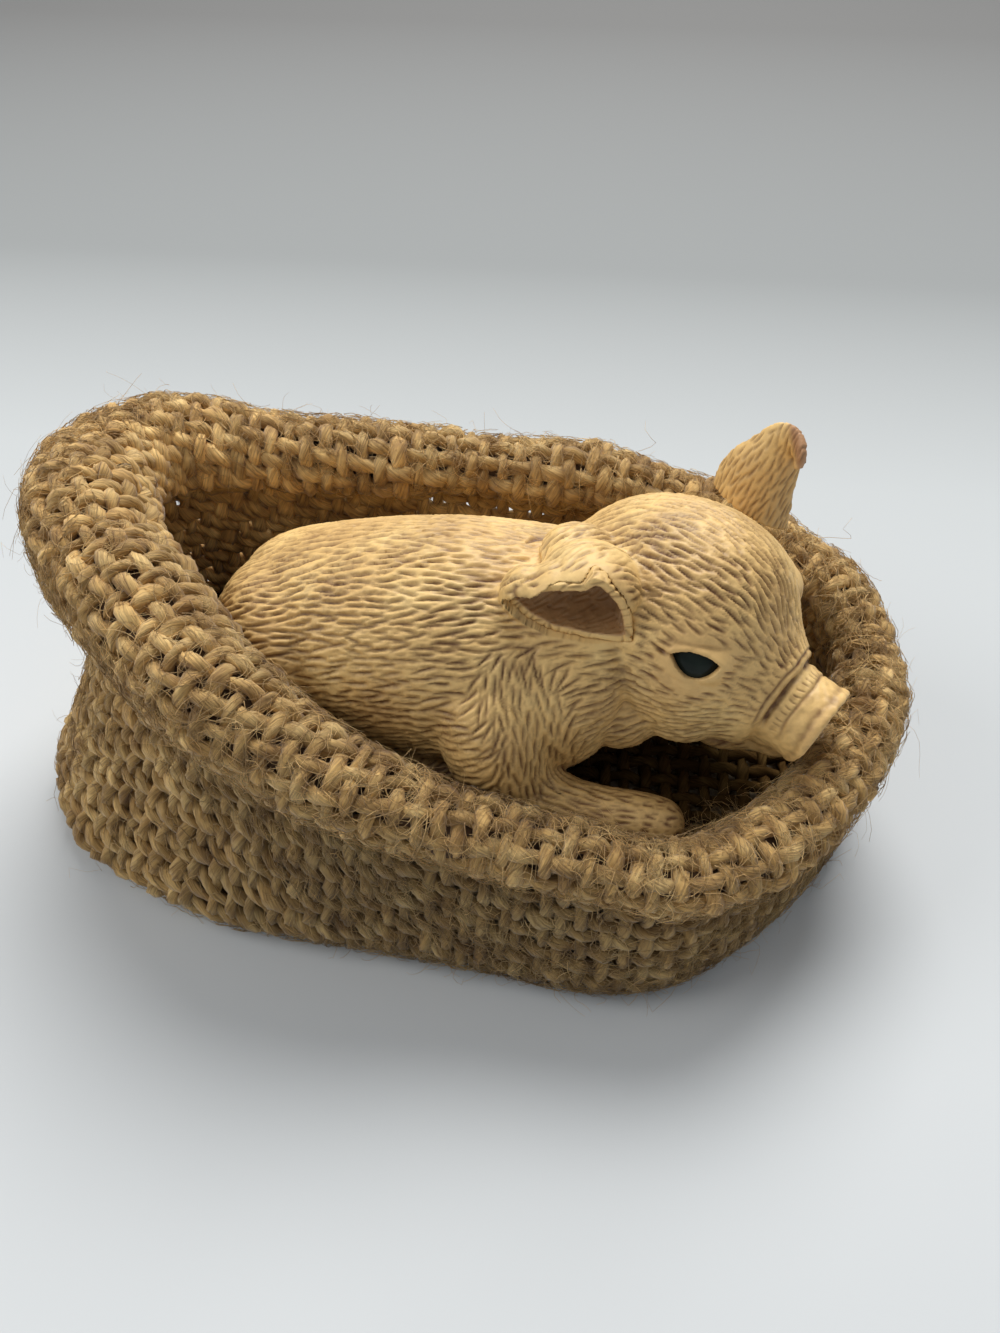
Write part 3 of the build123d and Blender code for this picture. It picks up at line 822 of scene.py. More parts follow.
def move_vertices(mesh, places):
    mesh.vertices.foreach_set("co", (places * millimetre).ravel())
    mesh.update()


wadding = mottled_material(
    "wadding", (700.0, 4.0, 0.7, 1.0), (0.30, 0.22, 0.13), (0.52, 0.42, 0.28), {"Roughness": 0.95}, (0.9, 0.0004)
)
filling_mesh = smooth_skin("fibre_filling", copy_of("stuffing"), 1.0, 4)
places = vertex_places(filling_mesh)
lumps = drift_noise(places, 11.0, 21) * 0.25 - 0.55
move_vertices(filling_mesh, places + vertex_normals(filling_mesh) * lumps[:, None])
filling = finish_piece("fibre_filling", filling_mesh, wadding, "sack")
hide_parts("stuffing")

# %% [markdown]
# ## The piglet
# One casting: body, neck, head and legs pass into each other without a joint, so their forms are
# joined into one skin by a voxel remesh and evened out. The skin is then modelled as a sculptor
# would: sockets and lids for the eyes, a mouth line, folds, and last the short strokes of the coat,
# which follow the way that a pig's bristles lie.

# %% Frame of the head
turn, dip = math.radians(-33), math.radians(15)
head_middle = np.array([23.2, 1.3, 31.3])
head_length, head_width, head_height = 24.0, 22.4, 23.4
level_ahead = np.array([math.cos(turn), math.sin(turn), 0.0])
right_hand = np.array([math.sin(turn), -math.cos(turn), 0.0])
ahead = level_ahead * math.cos(dip) - upward * math.sin(dip)
crown_way = np.cross(right_hand, ahead)
snout_root = head_middle + ahead * head_length * 0.42 - crown_way * head_height * 0.065
snout_axis = level_ahead - upward * math.tan(dip) * 0.8
snout_axis = snout_axis / np.linalg.norm(snout_axis)
snout_up = np.cross(right_hand, snout_axis)

def head_point(forward, side, rise):
    return head_middle + level_ahead * forward + right_hand * side + upward * rise


def eye_direction(side):
    return unit(right_hand * side * 0.86 + level_ahead * 0.40 + upward * 0.30)


print("crown", crown_way.round(2), "snout", snout_axis.round(2))

# %% Forms under the skin
def add_ball(shape, middle, radii, forward=None):
    """An ellipsoid in millimetres, its first radius along a direction."""
    first = unit(np.array(forward if forward is not None else (1.0, 0, 0)))
    second = unit(np.cross(upward, first))
    third = np.cross(first, second)
    turned = np.eye(4)
    for k, axis in enumerate((first, second, third)):
        turned[:3, k] = axis * radii[k] * millimetre
    turned[:3, 3] = np.array(middle) * millimetre
    bmesh.ops.create_icosphere(shape, subdivisions=4, radius=1.0, matrix=Matrix(turned.tolist()))


legs = [f"{word}_{leg}" for leg in ("foreleg", "hind_leg") for word in ("right", "left")]
forms = copy_of("piglet_body", "piglet_head", "lower_jaw", *legs)
push_out(forms, 0.16)
for side, word in ((1, "right"), (-1, "left")):
    eye_place = separate_parts(f"{word}_eye")[0].mean(axis=0)
    add_ball(forms, eye_place - eye_direction(side) * 0.75, (3.05, 3.05, 3.05))
    add_ball(forms, head_point(1.0, 5.4 * side, -4.6), (6.2, 4.6, 4.5), ahead)
    add_ball(forms, head_point(7.6, 1.9 * side, -3.4), (5.0, 3.0, 3.2), ahead)
    add_ball(forms, (16.5, 1.0 - 5.5 * side, 25.0), (4.6, 4.6, 4.6))
add_ball(forms, head_point(-9.0, 0, 0), (7.5, 7.0, 6.5), ahead)
add_ball(forms, (9.0, -5.6, 27.0), (6.0, 5.8, 7.8))
add_ball(forms, (9.0, 7.6, 27.0), (6.0, 5.8, 7.8))
add_ball(forms, (-17.4, 1.0, 24.6), (9.2, 10.8, 10.3))
add_ball(forms, (12.3, -2.9, 38.7), (4.9, 4.3, 4.1))
add_ball(forms, (12.6, -4.4, 39.5), (4.6, 3.0, 3.3))
add_ball(forms, (9.2, -4.6, 38.9), (4.8, 3.0, 3.2))
add_ball(forms, (11.2, 0.6, 40.0), (3.6, 3.4, 1.7))
add_ball(forms, snout_root + snout_axis * 0.2 + snout_up * 0.1, (4.2, 4.4, 4.3), snout_axis)
add_ball(forms, snout_root + snout_axis * 0.9 - snout_up * 1.7, (4.6, 3.9, 3.7), snout_axis)
snout_outline = [
    (-3.0, 0.02), (-3.0, 3.4), (-1.0, 4.60), (0.5, 4.65), (1.6, 4.45), (3.0, 4.25), (4.2, 4.25), (5.0, 4.36),
    (5.5, 4.45), (5.8, 4.4), (5.98, 4.15), (5.98, 3.9), (5.88, 3.5), (5.85, 2.0), (5.85, 0.02),
]
chain = []
for along, radius in snout_outline:
    place = snout_root + snout_axis * along + snout_up * radius
    chain.append(forms.verts.new(Vector(place * millimetre)))
edges = [forms.edges.new(pair) for pair in zip(chain, chain[1:])]
before_spin = len(forms.verts) - len(chain)
bmesh.ops.spin(
    forms, geom=chain + edges, cent=Vector(snout_root * millimetre), axis=Vector(snout_axis), angle=2 * math.pi,
    steps=96, use_merge=True, dvec=(0, 0, 0),
)
snout_slope = 0.20
for vertex in list(forms.verts)[before_spin:]:
    offset = np.array(vertex.co) / millimetre - snout_root
    under = max(0.0, -float(offset @ snout_up)) * float(smooth_step(offset @ snout_axis, 1.5, 5.0))
    vertex.co -= Vector(snout_axis * snout_slope * under * millimetre)
bmesh.ops.recalc_face_normals(forms, faces=forms.faces)
skin = smooth_skin("piglet_skin", forms, 0.215, 9)
print("skin vertices", len(skin.vertices))

# %% [markdown]
# A pig's ear is a thin leaf that is cupped along its length. The near ear is laid back along the
# neck. It is a scoop with a pale lip, and the skin has to make room for it. The table holds the
# middle line of its opening, half the opening's height and how far the scoop goes in.

# %% Scoop of the near ear
scoop_table = np.array([
    (0.00, 4.8, -5.2, 38.8, 0.15, 0.3),
    (0.17, 7.1, -6.1, 38.8, 1.80, 2.2),
    (0.38, 9.35, -6.7, 38.9, 2.70, 4.2),
    (0.58, 11.9, -6.9, 38.95, 3.05, 5.4),
    (0.66, 12.7, -6.9, 39.3, 3.60, 5.6),
    (0.74, 13.9, -6.9, 39.05, 3.45, 5.4),
    (0.87, 15.6, -7.0, 38.2, 2.50, 4.2),
    (0.95, 16.3, -7.1, 37.5, 1.60, 2.4),
    (1.00, 16.8, -7.1, 36.2, 0.30, 0.4),
])
scoop_cup = math.radians(100)
scoop = bmesh.new()
bmesh.ops.create_grid(scoop, x_segments=80, y_segments=60, size=1.0)
for vertex in scoop.verts:
    share, angle = (vertex.co.x + 1) / 2, vertex.co.y * scoop_cup
    x, y, z, half, deep = (float(np.interp(share, scoop_table[:, 0], scoop_table[:, k])) for k in range(1, 6))
    inward = deep * (math.cos(angle) - math.cos(scoop_cup)) / (1 - math.cos(scoop_cup))
    vertex.co = Vector((x, y + inward, z + half * math.sin(angle) / math.sin(scoop_cup))) * millimetre
bmesh.ops.smooth_vert(scoop, verts=scoop.verts, factor=0.5, use_axis_x=True, use_axis_y=True, use_axis_z=True)
scoop.normal_update()
scoop_surface = BVHTree.FromBMesh(scoop)
scoop_sign = 1 if np.mean([f.normal.y for f in scoop.faces]) < 0 else -1
print("scoop sign", scoop_sign)

# %% Finer mesh round the eyes
def near_path(places, path):
    """Distance to a path, and its direction there."""
    best = np.full(len(places), 1e9)
    way = np.zeros_like(places)
    for a, b in zip(path, path[1:]):
        line = b - a
        share = np.clip((places - a) @ line / (line @ line), 0, 1)
        reach = np.linalg.norm(places - (a + share[:, None] * line), axis=1)
        closer = reach < best
        best[closer] = reach[closer]
        way[closer] = unit(line)
    return best, way


def refine(mesh, middle, reach):
    """Halves the edges within a reach of a place."""
    fine = bmesh.new()
    fine.from_mesh(mesh)
    centre = Vector(np.array(middle) * millimetre)
    near = [e for e in fine.edges if all((v.co - centre).length < reach * millimetre for v in e.verts)]
    bmesh.ops.subdivide_edges(fine, edges=near, cuts=1, use_grid_fill=True)
    bmesh.ops.triangulate(fine, faces=[f for f in fine.faces if len(f.verts) > 4])
    fine.to_mesh(mesh)
    fine.free()


def skin_height(mesh, place, way):
    """Where a line from a place along a direction leaves the skin."""
    offset = vertex_places(mesh) - place
    along_way = offset @ way
    beside = np.linalg.norm(offset - along_way[:, None] * way, axis=1)
    return place + way * along_way[(beside < 0.3) & (along_way > -5)].max()


eye_radius = 3.0
eye_frames = {}
for side in (1, -1):
    out = eye_direction(side)
    long_way = unit(np.cross(upward, out)) * side
    up_way = np.cross(out, long_way) * side
    start = head_point(5.1, 9.1 * side, 3.6) - long_way * 0.24 + up_way * 0.30
    middle_place = skin_height(skin, start, out)
    eye_frames[side] = (middle_place, out, long_way, up_way, middle_place - out * (eye_radius + 0.04))
    refine(skin, middle_place, 4.4)
    print("eye", side, middle_place.round(1))

# %% Eye sockets and lids
def almond(places, side):
    """How far out of an eye's opening each place is: 0 in its middle, 1 on its edge."""
    middle_place, out, long_way, up_way, _ = eye_frames[side]
    offset = places - middle_place
    x = offset @ long_way
    y = offset @ up_way - 0.47 + 0.12 * x
    value = np.abs(x / 2.25) ** 2.0 + np.abs(y / np.where(y > 0, 0.74, 1.80)) ** 1.1
    return np.where(offset @ out > -2.6, value, 99.0), x, y


places = vertex_places(skin)
lid_wash = np.zeros(len(places))
for side in (1, -1):
    _, out, long_way, up_way, ball_middle = eye_frames[side]
    value, x, y = almond(places, side)
    opened = smooth_step(value, 1.05, 0.95)
    offset = places - ball_middle
    height = offset @ out
    beside = (offset**2).sum(axis=1) - height**2
    over = np.sqrt(np.maximum((eye_radius + 0.26) ** 2 - beside, 0))
    under = np.sqrt(np.maximum((eye_radius - 0.35) ** 2 - beside, 0))
    near = value < 12
    lifted = np.maximum(over - height, 0) * near * (1 - opened)
    sunk = (height - under) * opened
    rim = np.exp(-(((value - 1.5) / 0.42) ** 2)) * (1 - opened)
    crease = np.exp(-(((y - 1.35 - 0.06 * x) / 0.22) ** 2)) * smooth_step(np.abs(x), 3.1, 2.2)
    under_crease = np.exp(-(((y + 2.45 - 0.10 * x * x) / 0.25) ** 2)) * smooth_step(np.abs(x), 2.6, 1.4)
    tail = np.exp(-((y / 0.16) ** 2)) * smooth_step(x, -2.1, -2.5) * smooth_step(x, -4.0, -3.0)
    dent = (crease * 0.13 + under_crease * 0.09 + tail * 0.16) * near * (1 - opened)
    places = places + out * (lifted - sunk + rim * 0.10 * near - dent)[:, None]
    dark = opened + crease * 0.35 + under_crease * 0.18 + tail * 0.65 - rim * 0.45
    lid_wash += np.where(near, dark, 0.0)
move_vertices(skin, places)

# %% Room for the scoop
places = vertex_places(skin)
carved, rim_reach = np.zeros(len(places)), np.full(len(places), 9.0)
for index in np.flatnonzero(np.linalg.norm(places - [11.5, -5.0, 38.8], axis=1) < 8.5):
    rim_reach[index] = scoop_surface.find_nearest(Vector(places[index] * millimetre))[3] / millimetre
    ray = scoop_surface.ray_cast(Vector(places[index] * millimetre), Vector((0, 1, 0)), 9 * millimetre)
    if ray[0] is not None and ray[1].y * scoop_sign < 0:
        places[index, 1] = ray[0].y / millimetre + 0.3
        carved[index] = 1
places[:, 1] -= 0.45 * np.exp(-((rim_reach / 1.1) ** 2)) * (1 - carved)
places[:, 2] -= 0.50 * np.exp(-(((places[:, 0] - 7.6) / 1.0) ** 2)) * smooth_step(places[:, 2], 38.5, 41.0)
move_vertices(skin, places)

# %% Folds and nostrils of the snout
def snout_places(places):
    offset = places - snout_root
    along, rise = offset @ snout_axis, offset @ snout_up
    along = along + snout_slope * np.maximum(0, -rise) * smooth_step(along, 1.5, 5.0)
    return along, offset @ right_hand, rise


def line_at(values, place, width):
    return np.exp(-(((values - place) / width) ** 2))


refine(skin, snout_root + snout_axis * 2.6, 6.6)
carved = np.pad(carved, (0, len(skin.vertices) - len(carved)))
rim_reach = np.pad(rim_reach, (0, len(skin.vertices) - len(rim_reach)), constant_values=9.0)
lid_wash = np.pad(lid_wash, (0, len(skin.vertices) - len(lid_wash)))
places, ways = vertex_places(skin), vertex_normals(skin)
along, across, rise = snout_places(places)
reach = np.hypot(across, rise)
near = (reach < 6.4) & (along > -3.0)
angle = np.arctan2(np.abs(across), rise)
bend = along + 0.16 * np.sin(angle * 2.3) + drift_noise(places, 3.0, 70) * 0.07
upper = smooth_step(angle, math.radians(96), math.radians(70)) * near
ridge_fade = 0.45 + 0.55 * smooth_step(angle, math.radians(4), math.radians(16))
deep_fold = line_at(bend, 1.30, 0.21) * smooth_step(angle, math.radians(88), math.radians(72))
deep_fold = deep_fold * ridge_fade * near
edge_lines = line_at(bend, -1.50, 0.17) * 0.7 + line_at(bend, 0.55, 0.15) + line_at(bend, 2.95, 0.17) * 0.9
edge_lines = edge_lines * upper
ticks = np.clip(np.cos(angle * 4.3 * 2 * math.pi / 0.68 + drift_noise(places, 1.5, 74) * 1.2), 0, 1) ** 3
rear_band = smooth_step(bend, -1.4, -1.0) * smooth_step(bend, 0.5, 0.1)
front_band = smooth_step(bend, 1.8, 2.1) * smooth_step(bend, 2.9, 2.5)
bands = (rear_band + front_band) * upper
flare_line = line_at(bend, 4.9, 0.35) * smooth_step(angle, math.radians(150), math.radians(100)) * near
front = smooth_step(along, 5.35, 5.6) * (reach < 5.4)
nostril = np.maximum(*(
    np.exp(-((((across - 1.75 * side) / 0.75) ** 2 + ((rise - 0.1) / 1.05) ** 2) ** 1.4)) for side in (1, -1)
)) * front
dish = line_at(reach, 3.4, 0.5) * front
pores = drift_noise(places, 0.9, 71) * 0.03 * near
dent = deep_fold * 0.30 + edge_lines * 0.14 + ticks * bands * 0.09 + flare_line * 0.10 - pores
mouth = np.zeros(len(places))
for side in (1, -1):
    corner = np.array([head_point(4.3, 6.0 * side, -8.2), head_point(7.2, 4.4 * side, -8.4)])
    gap, _ = near_path(places, corner)
    mouth = np.maximum(mouth, np.exp(-((gap / 1.25) ** 4)))
places = places - ways * (dent + mouth * 0.55)[:, None] - snout_axis * (nostril * 1.3 + dish * 0.22)[:, None]
move_vertices(skin, places)
mottle = smooth_step(drift_noise(places, 1.4, 75), 0.0, 0.9) * near * smooth_step(along, -1.0, 0.5)
snout_wash = deep_fold * 0.70 + edge_lines * 0.65 + ticks * bands * 0.55 + flare_line * 0.45
snout_wash = snout_wash + mottle * 0.22 + nostril * 0.9 + dish * 0.3

# %% Direction of the coat
leg_path = {
    side: np.array([
        [6.5, 1.0 - side * 9.0, 29.0],
        [8.6, 1.0 - side * 12.2, 18.6],
        [15.2, 1.0 - side * 13.7, 17.3],
        [23.0, 1.0 - side * 14.2, 17.2],
    ])
    for side in (1, -1)
}

near_ear_way = np.array([-0.80, -0.56, -0.20])


def coat_way(places, ways):
    """Unit direction in which the bristles lie at each place."""
    flank = np.clip(-(places[:, 2] - 30) / 14, -0.3, 1)
    body = np.column_stack([-np.ones(len(places)), 0.05 * np.sign(places[:, 1]), -0.20 - 0.42 * flank])
    nose = snout_root + snout_axis * 3
    head = unit(places - nose) + np.array([0, 0, -0.18])
    reach = np.linalg.norm(places - head_middle, axis=1)
    share = smooth_step(reach, 14.5, 11.0)[:, None]
    flow = head * share + unit(body) * (1 - share)
    for side in (1, -1):
        gap, way = near_path(places, leg_path[side])
        leg = smooth_step(gap, 7.0, 4.6)[:, None] * (1 - share)
        flow = flow * (1 - leg) + (way + np.array([-0.12, 0, 0])) * leg
    mound = smooth_step(np.linalg.norm(places - [11.6, -2.6, 39.6], axis=1), 6.2, 4.4)[:, None]
    mound = mound * (places[:, 2:3] > 37)
    flow = flow * (1 - mound) + near_ear_way * mound
    flow = flow - ways * (flow * ways).sum(axis=1)[:, None]
    return unit(flow)


# %% Strokes of the coat
def spread_strokes(places, ways, flow, allowed, across_gap, along_gap, seed):
    """Vertex numbers for strokes, kept apart by unequal gaps along and across the coat."""
    picker = np.random.default_rng(seed)
    order = picker.permutation(np.flatnonzero(allowed))
    order = order[: min(len(order), 60000)]
    across = np.cross(ways, flow)
    cells, kept = {}, []

    def crowds(index, other):
        gap = places[other] - places[index]
        a = gap @ flow[index] / along_gap
        c = gap @ across[index] / across_gap
        return a * a + c * c < 1

    for index in order:
        x, y, z = (places[index] // along_gap).astype(int)
        close = (cells.get((x + dx, y + dy, z + dz), ()) for dx, dy, dz in product((-1, 0, 1), repeat=3))
        if not any(crowds(index, other) for cell in close for other in cell):
            cells.setdefault((x, y, z), []).append(index)
            kept.append(index)
    return np.array(kept)


def cut_strokes(mesh, allowed, scale, depth, seed, across_gap=0.60, along_gap=2.0, flow=None):
    """Lowers the skin along short strokes, and returns how deep in a stroke each vertex lies."""
    places, ways = vertex_places(mesh), vertex_normals(mesh)
    if flow is None:
        flow = coat_way(places, ways)
    starts = spread_strokes(places, ways, flow, allowed, across_gap, along_gap, seed)
    picker = np.random.default_rng(seed + 1)
    tree = kdtree.KDTree(len(places))
    for index, place in enumerate(places):
        tree.insert(place, index)
    tree.balance()
    groove, lip = np.zeros(len(places)), np.zeros(len(places))
    for index in starts:
        size = scale[index] * picker.uniform(0.7, 1.3)
        reach = along_gap * 0.74 * size
        near = np.array([found[1] for found in tree.find_range(places[index], reach * 1.05)])
        if len(near) == 0:
            continue
        d = places[near] - places[index]
        across = np.cross(ways[index], flow[index])
        tilt = picker.normal(0, 0.14)
        x = d @ (flow[index] + across * tilt)
        y = d @ (across - flow[index] * tilt) + picker.uniform(-0.12, 0.12) * x * x / reach
        width = across_gap * 0.27 * (1.0 - 0.45 * x / reach)
        fade = np.clip(1 - (x / reach) ** 2, 0, 1) ** 0.6
        cut = np.exp(-((y / width) ** 2)) * fade
        groove[near] = np.maximum(groove[near], cut * picker.uniform(0.7, 1.0))
        lip[near] = np.maximum(lip[near], np.exp(-(((np.abs(y) - width * 2.2) / width) ** 2)) * fade)
    move_vertices(mesh, places - ways * ((groove - 0.22 * lip * (1 - groove)) * depth * scale)[:, None])
    print(mesh.name, "strokes", len(starts))
    return groove


places, ways = vertex_places(skin), vertex_normals(skin)
eye_reach = np.minimum(*(np.linalg.norm(places - eye_frames[side][0], axis=1) for side in (1, -1)))
along, across, rise = snout_places(places)
on_snout = (along > -1.7) & (np.hypot(across, rise) < 6.4)
allowed = (eye_reach > 3.2) & ~on_snout & (rim_reach > 0.6) & (places[:, 2] > 15.2)
scale = 0.66 + 0.34 * smooth_step(eye_reach, 3.5, 7.0)
scale = np.minimum(scale, 0.66 + 0.34 * smooth_step(np.linalg.norm(places - snout_root, axis=1), 6.0, 10.0))
scale = scale * smooth_step(rim_reach, 0.2, 1.1)
scale = scale * (1 - 0.55 * smooth_step(places[:, 0], 13, 20) * smooth_step(places[:, 2], 21, 19.5))
groove = cut_strokes(skin, allowed, scale, 0.30, 40)
fine_groove = cut_strokes(skin, allowed, scale, 0.10, 50, 0.42, 1.1)
groove = np.maximum(groove, fine_groove * 0.45)

# %% Paint and painted shade on the skin
def paint(mesh, wash_and_shade, blush):
    for name, values in (("wash_and_shade", wash_and_shade), ("blush", blush)):
        layer = mesh.attributes.get(name) or mesh.attributes.new(name, "FLOAT", "POINT")
        layer.data.foreach_set("value", np.clip(values, 0, 1))


places = vertex_places(skin)
# Painted shade: the lower side of the body and the forelegs are darker.
lower_side_shade = smooth_step(places[:, 2], 24, 16) * 0.26
lower_side_shade = lower_side_shade + smooth_step(places[:, 0], 10, 18) * smooth_step(places[:, 2], 21, 19.5) * 0.14
patch = np.clip(drift_noise(places, 9.0, 61) * 0.16, -0.1, 0.2)
# The brown is the wash in the grooves and on the eyes, snout and mouth, plus the painted shade.
wash_and_shade = np.clip(groove + lower_side_shade + patch + lid_wash * 0.9 + snout_wash + mouth * 0.80 + 0.03, 0, 1)
wash_and_shade = np.where(carved > 0, 0.10, wash_and_shade)
blush = 0.10 * smooth_step(eye_reach, 5.5, 3.5) + 0.9 * mouth + 0.10 * smooth_step(along, 4.8, 5.6) * on_snout
paint(skin, wash_and_shade, blush)

# %% Split the skin at the neck
full = vertex_normals(skin)
layer = skin.attributes.new("full_normal", "FLOAT_VECTOR", "POINT")
layer.data.foreach_set("vector", full.ravel())


def skin_part(name, planes, nodes):
    """The closed piece of the skin on the near side of each (place, direction) plane."""
    cut = bmesh.new()
    cut.from_mesh(skin)
    for place, way in planes:
        geometry = list(cut.verts) + list(cut.edges) + list(cut.faces)
        bmesh.ops.bisect_plane(
            cut, geom=geometry, clear_outer=True,
            plane_co=Vector(np.array(place) * millimetre), plane_no=Vector(way),
        )
        edges = [e for e in cut.edges if e.is_boundary]
        bmesh.ops.holes_fill(cut, edges=edges, sides=0)
    loose = [v for v in cut.verts if not v.link_faces]
    bmesh.ops.delete(cut, geom=loose, context="VERTS")
    mesh = mesh_from(name, cut)
    stored = np.empty(len(mesh.vertices) * 3)
    mesh.attributes["full_normal"].data.foreach_get("vector", stored)
    piece = finish_piece(name, mesh, painted_resin, "piglet")
    mesh.normals_split_custom_set_from_vertices(unit(stored.reshape(-1, 3)))
    mesh.attributes.remove(mesh.attributes["full_normal"])
    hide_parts(*nodes)


neck = head_point(-9.5, 0, 0)
neck_way = unit(level_ahead + upward * 0.1)
chin = np.array([0, 0, 20.4])
snout_cut = snout_root + snout_axis * 1.3
sideways = np.array([0, 1.0, 0])
waist, waist_way = np.array([-4.0, 0, 0]), np.array([1.0, 0, 0])
ahead_of_neck, behind_neck = (neck, -neck_way), (neck, neck_way)
above_chin, below_chin = (chin, -upward), (chin, upward)
for name, planes, nodes in (
    ("piglet_head_skin", [ahead_of_neck, above_chin, (snout_cut, snout_axis)], ["piglet_head", "lower_jaw"]),
    ("snout_disc", [(snout_cut, -snout_axis), above_chin], ["snout"]),
    ("right_forefoot", [ahead_of_neck, below_chin, (sideways, sideways)], ["right_foreleg"]),
    ("left_forefoot", [ahead_of_neck, below_chin, (sideways, -sideways)], ["left_foreleg"]),
    ("piglet_fore_skin", [behind_neck, (waist, -waist_way)], ["piglet_body", "right_foreleg", "left_foreleg"]),
    ("piglet_hind_skin", [behind_neck, (waist, waist_way)], ["piglet_body", "right_hind_leg", "left_hind_leg"]),
):
    skin_part(name, planes, nodes)
bpy.data.meshes.remove(skin)

# %% [markdown]
# The eyes are two balls of near-black enamel. Only the almond between the lids shows.

# %% Eyes
for side, word in ((1, "right"), (-1, "left")):
    ball = bmesh.new()
    bmesh.ops.create_uvsphere(ball, u_segments=72, v_segments=48, radius=eye_radius * millimetre)
    bmesh.ops.translate(ball, verts=ball.verts, vec=Vector(eye_frames[side][4] * millimetre))
    name = f"{word}_eye_ball"
    eye = finish_piece(name, mesh_from(name, ball), eye_enamel, "piglet")
    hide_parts(f"{word}_eye")

# %% [markdown]
# Both ears are cast thin. The far one stands, and its tip rolls over and shows its pink inside.

# %% Ears
def turned(vector, axis, angle):
    return np.array(Matrix.Rotation(angle, 3, Vector(axis)) @ Vector(vector))


def cupped_ear(name, root, way, opening, length, widths, cup, bow, roll, roll_way, voxel=0.17):
    """A cupped leaf of even thickness whose tip may roll over."""
    way = unit(np.array(way, float))
    opening = unit(np.array(opening, float) - way * (np.array(opening, float) @ way))
    sideways = np.cross(way, opening)
    k = unit(sideways * roll_way[0] + opening * roll_way[1])
    axis = np.cross(way, k)
    steps = 60
    angles = [roll[1] * float(smooth_step(s, roll[0], 1.0)) for s in np.linspace(0, 1, steps + 1)]
    centre_line = [np.array(root, float)]
    for angle in angles[:-1]:
        centre_line.append(centre_line[-1] + turned(way, axis, math.radians(angle)) * length / steps)
    centre_line = np.array(centre_line)
    stations_x, widths_y = np.array(widths).T
    grid = bmesh.new()
    bmesh.ops.create_grid(grid, x_segments=60, y_segments=44, size=1.0)
    for vertex in grid.verts:
        s, t = (vertex.co.x + 1) / 2, vertex.co.y
        place = min(int(round(s * steps)), steps)
        half = np.interp(s, stations_x, widths_y)
        cupped = math.radians(np.interp(s, [0, 1], cup))
        radius = half / max(math.sin(min(cupped, math.pi / 2)), 0.2)
        angle = t * cupped
        across = turned(sideways, axis, math.radians(angles[place]))
        facing = turned(opening, axis, math.radians(angles[place]))
        centre = centre_line[place] + sideways * bow * math.sin(math.pi * s)
        spot = centre + across * radius * math.sin(angle) + facing * radius * (1 - math.cos(angle))
        vertex.co = Vector(spot * millimetre)
    grid.normal_update()
    middle_surface = BVHTree.FromBMesh(grid)
    root_place = Vector(root) * millimetre
    root_reach = length * 0.6 * millimetre
    root_faces = [f for f in grid.faces if (f.calc_center_median() - root_place).length < root_reach]
    sign = 1 if np.mean([np.array(f.normal) for f in root_faces], axis=0) @ opening > 0 else -1
    bmesh.ops.solidify(grid, geom=list(grid.faces), thickness=0.85 * millimetre)
    return smooth_skin(name, grid, voxel, 3), middle_surface, sign, way


def finish_ear(name, node, mesh, middle_surface, sign, way, seed, blush, tip_way=None):
    places, ways = vertex_places(mesh), vertex_normals(mesh)
    within = np.zeros(len(places))
    for index, place in enumerate(places):
        found, normal, _, _ = middle_surface.find_nearest(Vector(place * millimetre))
        within[index] = sign * np.array(normal) @ ways[index]
    inner = smooth_step(within, -0.1, 0.6)
    flow = unit(way - ways * (ways @ way)[:, None])
    allowed = within < 0.15
    groove = cut_strokes(mesh, allowed, np.full(len(places), 0.85), 0.16, seed, 0.5, 1.5, flow=flow)
    lines = drift_noise(places, 1.6, seed + 5) * 0.10
    rim = np.exp(-((within / 0.45) ** 2))
    # Painted shade: the inside of the cupped leaf is darkened with the brown, besides its pink paint.
    wash_and_shade = np.clip(groove * 0.75 * (1 - inner) + inner * (0.38 + lines) - rim * 0.10 + 0.05, 0, 1)
    if tip_way is not None:
        reach = places @ unit(np.array(tip_way))
        inner = np.maximum(inner, smooth_step(reach, reach.max() - 1.7, reach.max() - 0.9))
    paint(mesh, wash_and_shade, inner * blush)
    ear = finish_piece(name, mesh, painted_resin, "piglet")
    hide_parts(node)


bmesh.ops.solidify(scoop, geom=list(scoop.faces), thickness=-0.80 * scoop_sign * millimetre)
near_mesh = smooth_skin("right_ear_leaf", scoop, 0.13, 3)
finish_ear("right_ear_leaf", "right_ear", near_mesh, scoop_surface, scoop_sign, unit(near_ear_way), 130, 0.60)
far_parts = cupped_ear(
    "left_ear_leaf", (27.6, 11.2, 37.2), (4.2, 1.6, 9.3), (0.16, 0.82, -0.55), 10.0,
    [(0.0, 4.6), (0.2, 4.4), (0.45, 3.7), (0.68, 2.8), (0.84, 2.0), (0.94, 1.3), (1.0, 0.8)],
    (70, 55), 1.0, (0.66, 165.0), (-0.70, -0.75),
)
finish_ear("left_ear_leaf", "left_ear", *far_parts, 140, 0.85, (0.85, -0.15, 0.50))

# %% Tail
tail_mesh = smooth_skin("curled_tail", copy_of("tail"), 0.2, 2)
count = len(tail_mesh.vertices)
paint(tail_mesh, np.full(count, 0.15), np.full(count, 0.2))
tail = finish_piece("curled_tail", tail_mesh, painted_resin, "piglet")
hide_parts("tail")

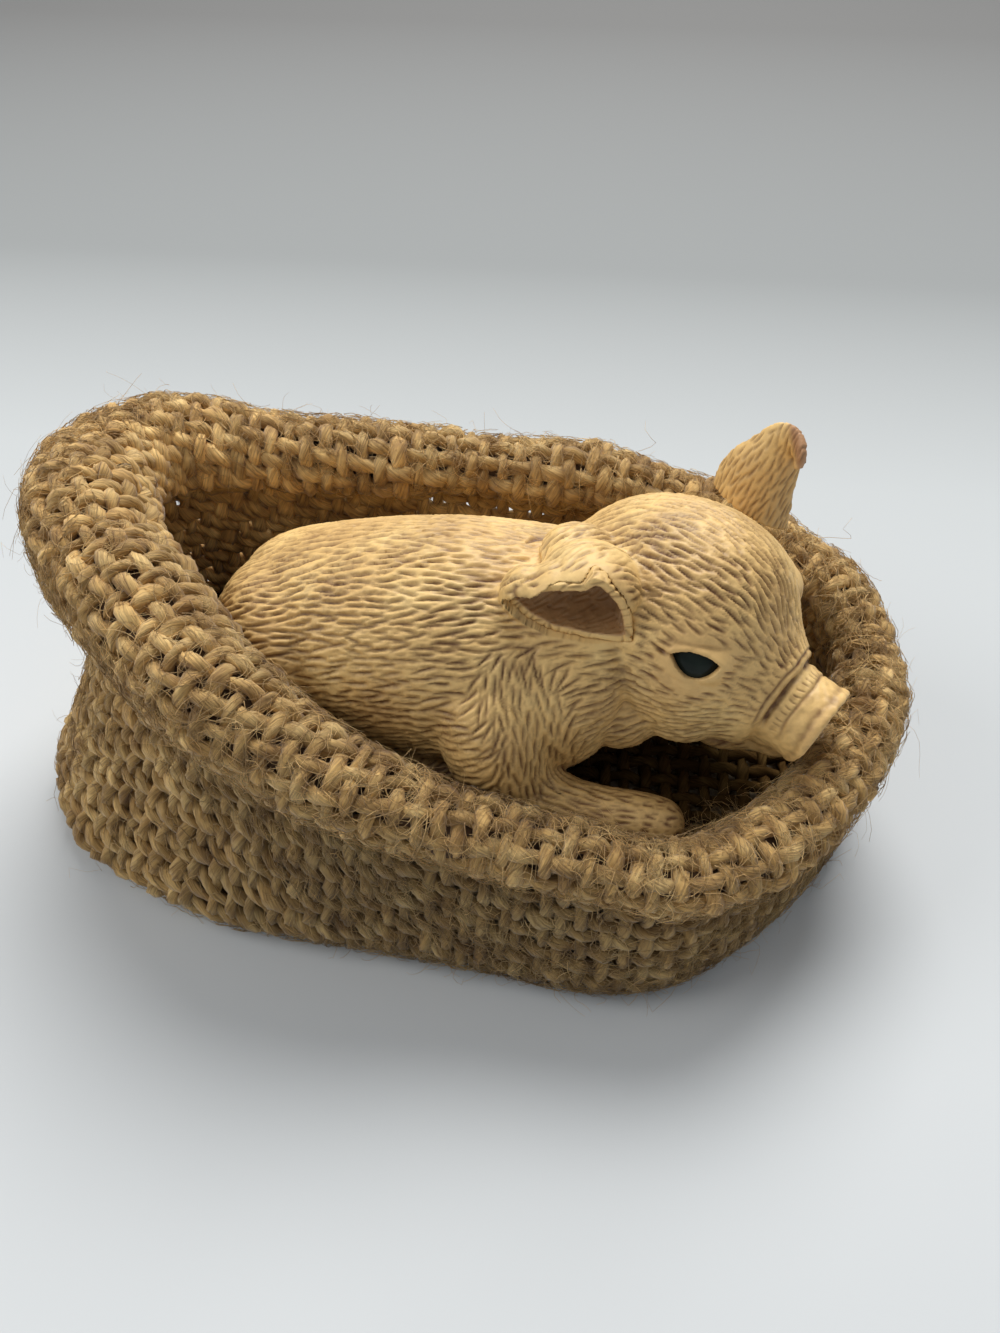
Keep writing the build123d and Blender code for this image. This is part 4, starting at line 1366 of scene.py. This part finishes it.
# %% [markdown]
# ## Light, floor and camera
# The photograph looks down at the sack from its front, close enough that the near side is clearly
# larger. A soft lamp above and behind the object lights the piglet's back, and a weaker one fills
# from the left.

# %% Floor
def floor_material():
    material, tree, shader = new_material("pale_floor_shaded_back")
    back = add_node(tree, "ShaderNodeSeparateXYZ", {"Vector": object_place(tree)}).outputs["Y"]
    # Painted shade: the floor is pale at the front and darker grey towards the back.
    colour = ramp(tree, back, [
        (0.00, (0.590, 0.605, 0.605)), (0.07, (0.490, 0.506, 0.503)),
        (0.15, (0.270, 0.278, 0.274)), (0.36, (0.178, 0.176, 0.170)),
    ])
    finish_look(tree, shader, colour, {"Roughness": 0.9, "Specular IOR Level": 0.2})
    return material


ground = bmesh.new()
bmesh.ops.create_grid(ground, x_segments=1, y_segments=1, size=3.0)
floor = place_object("floor", mesh_from("floor", ground))
floor.data.materials.append(floor_material())

# %% Lamps and world
def area_lamp(name, place, watts):
    """A round lamp that aims at the middle of the sack's foot."""
    data = bpy.data.lights.new(name, "AREA")
    data.shape = "DISK"
    data.size = 0.45
    data.energy = watts
    lamp = place_object(name, data)
    lamp.location = place
    lamp.rotation_euler = (Vector((0, 0, 0.02)) - Vector(place)).to_track_quat("-Z", "Y").to_euler()


area_lamp("lamp_behind", (0.05, 0.40, 0.62), 5.6)
area_lamp("lamp_left", (-0.60, -0.10, 0.50), 2.0)
world = bpy.data.worlds.new("studio")
world.use_nodes = True
tree = world.node_tree
background = tree.nodes["Background"]
background.inputs["Color"].default_value = (0.86, 0.90, 0.95, 1)
background.inputs["Strength"].default_value = 0.42
bpy.context.scene.world = world
bpy.context.scene.view_settings.view_transform = "Standard"

# %% Camera
focal_pixels, photo_height = 985, 1333
camera_data = bpy.data.cameras.new("camera")
camera_data.sensor_width = 36.0
camera_data.lens = focal_pixels / photo_height * camera_data.sensor_width
camera_data.clip_start = 0.005
camera = place_object("camera", camera_data)
camera.location = (0.0115, -0.07119, 0.098)
camera.rotation_euler = (math.radians(90 - 45.9), 0, math.radians(6))
bpy.context.scene.camera = camera
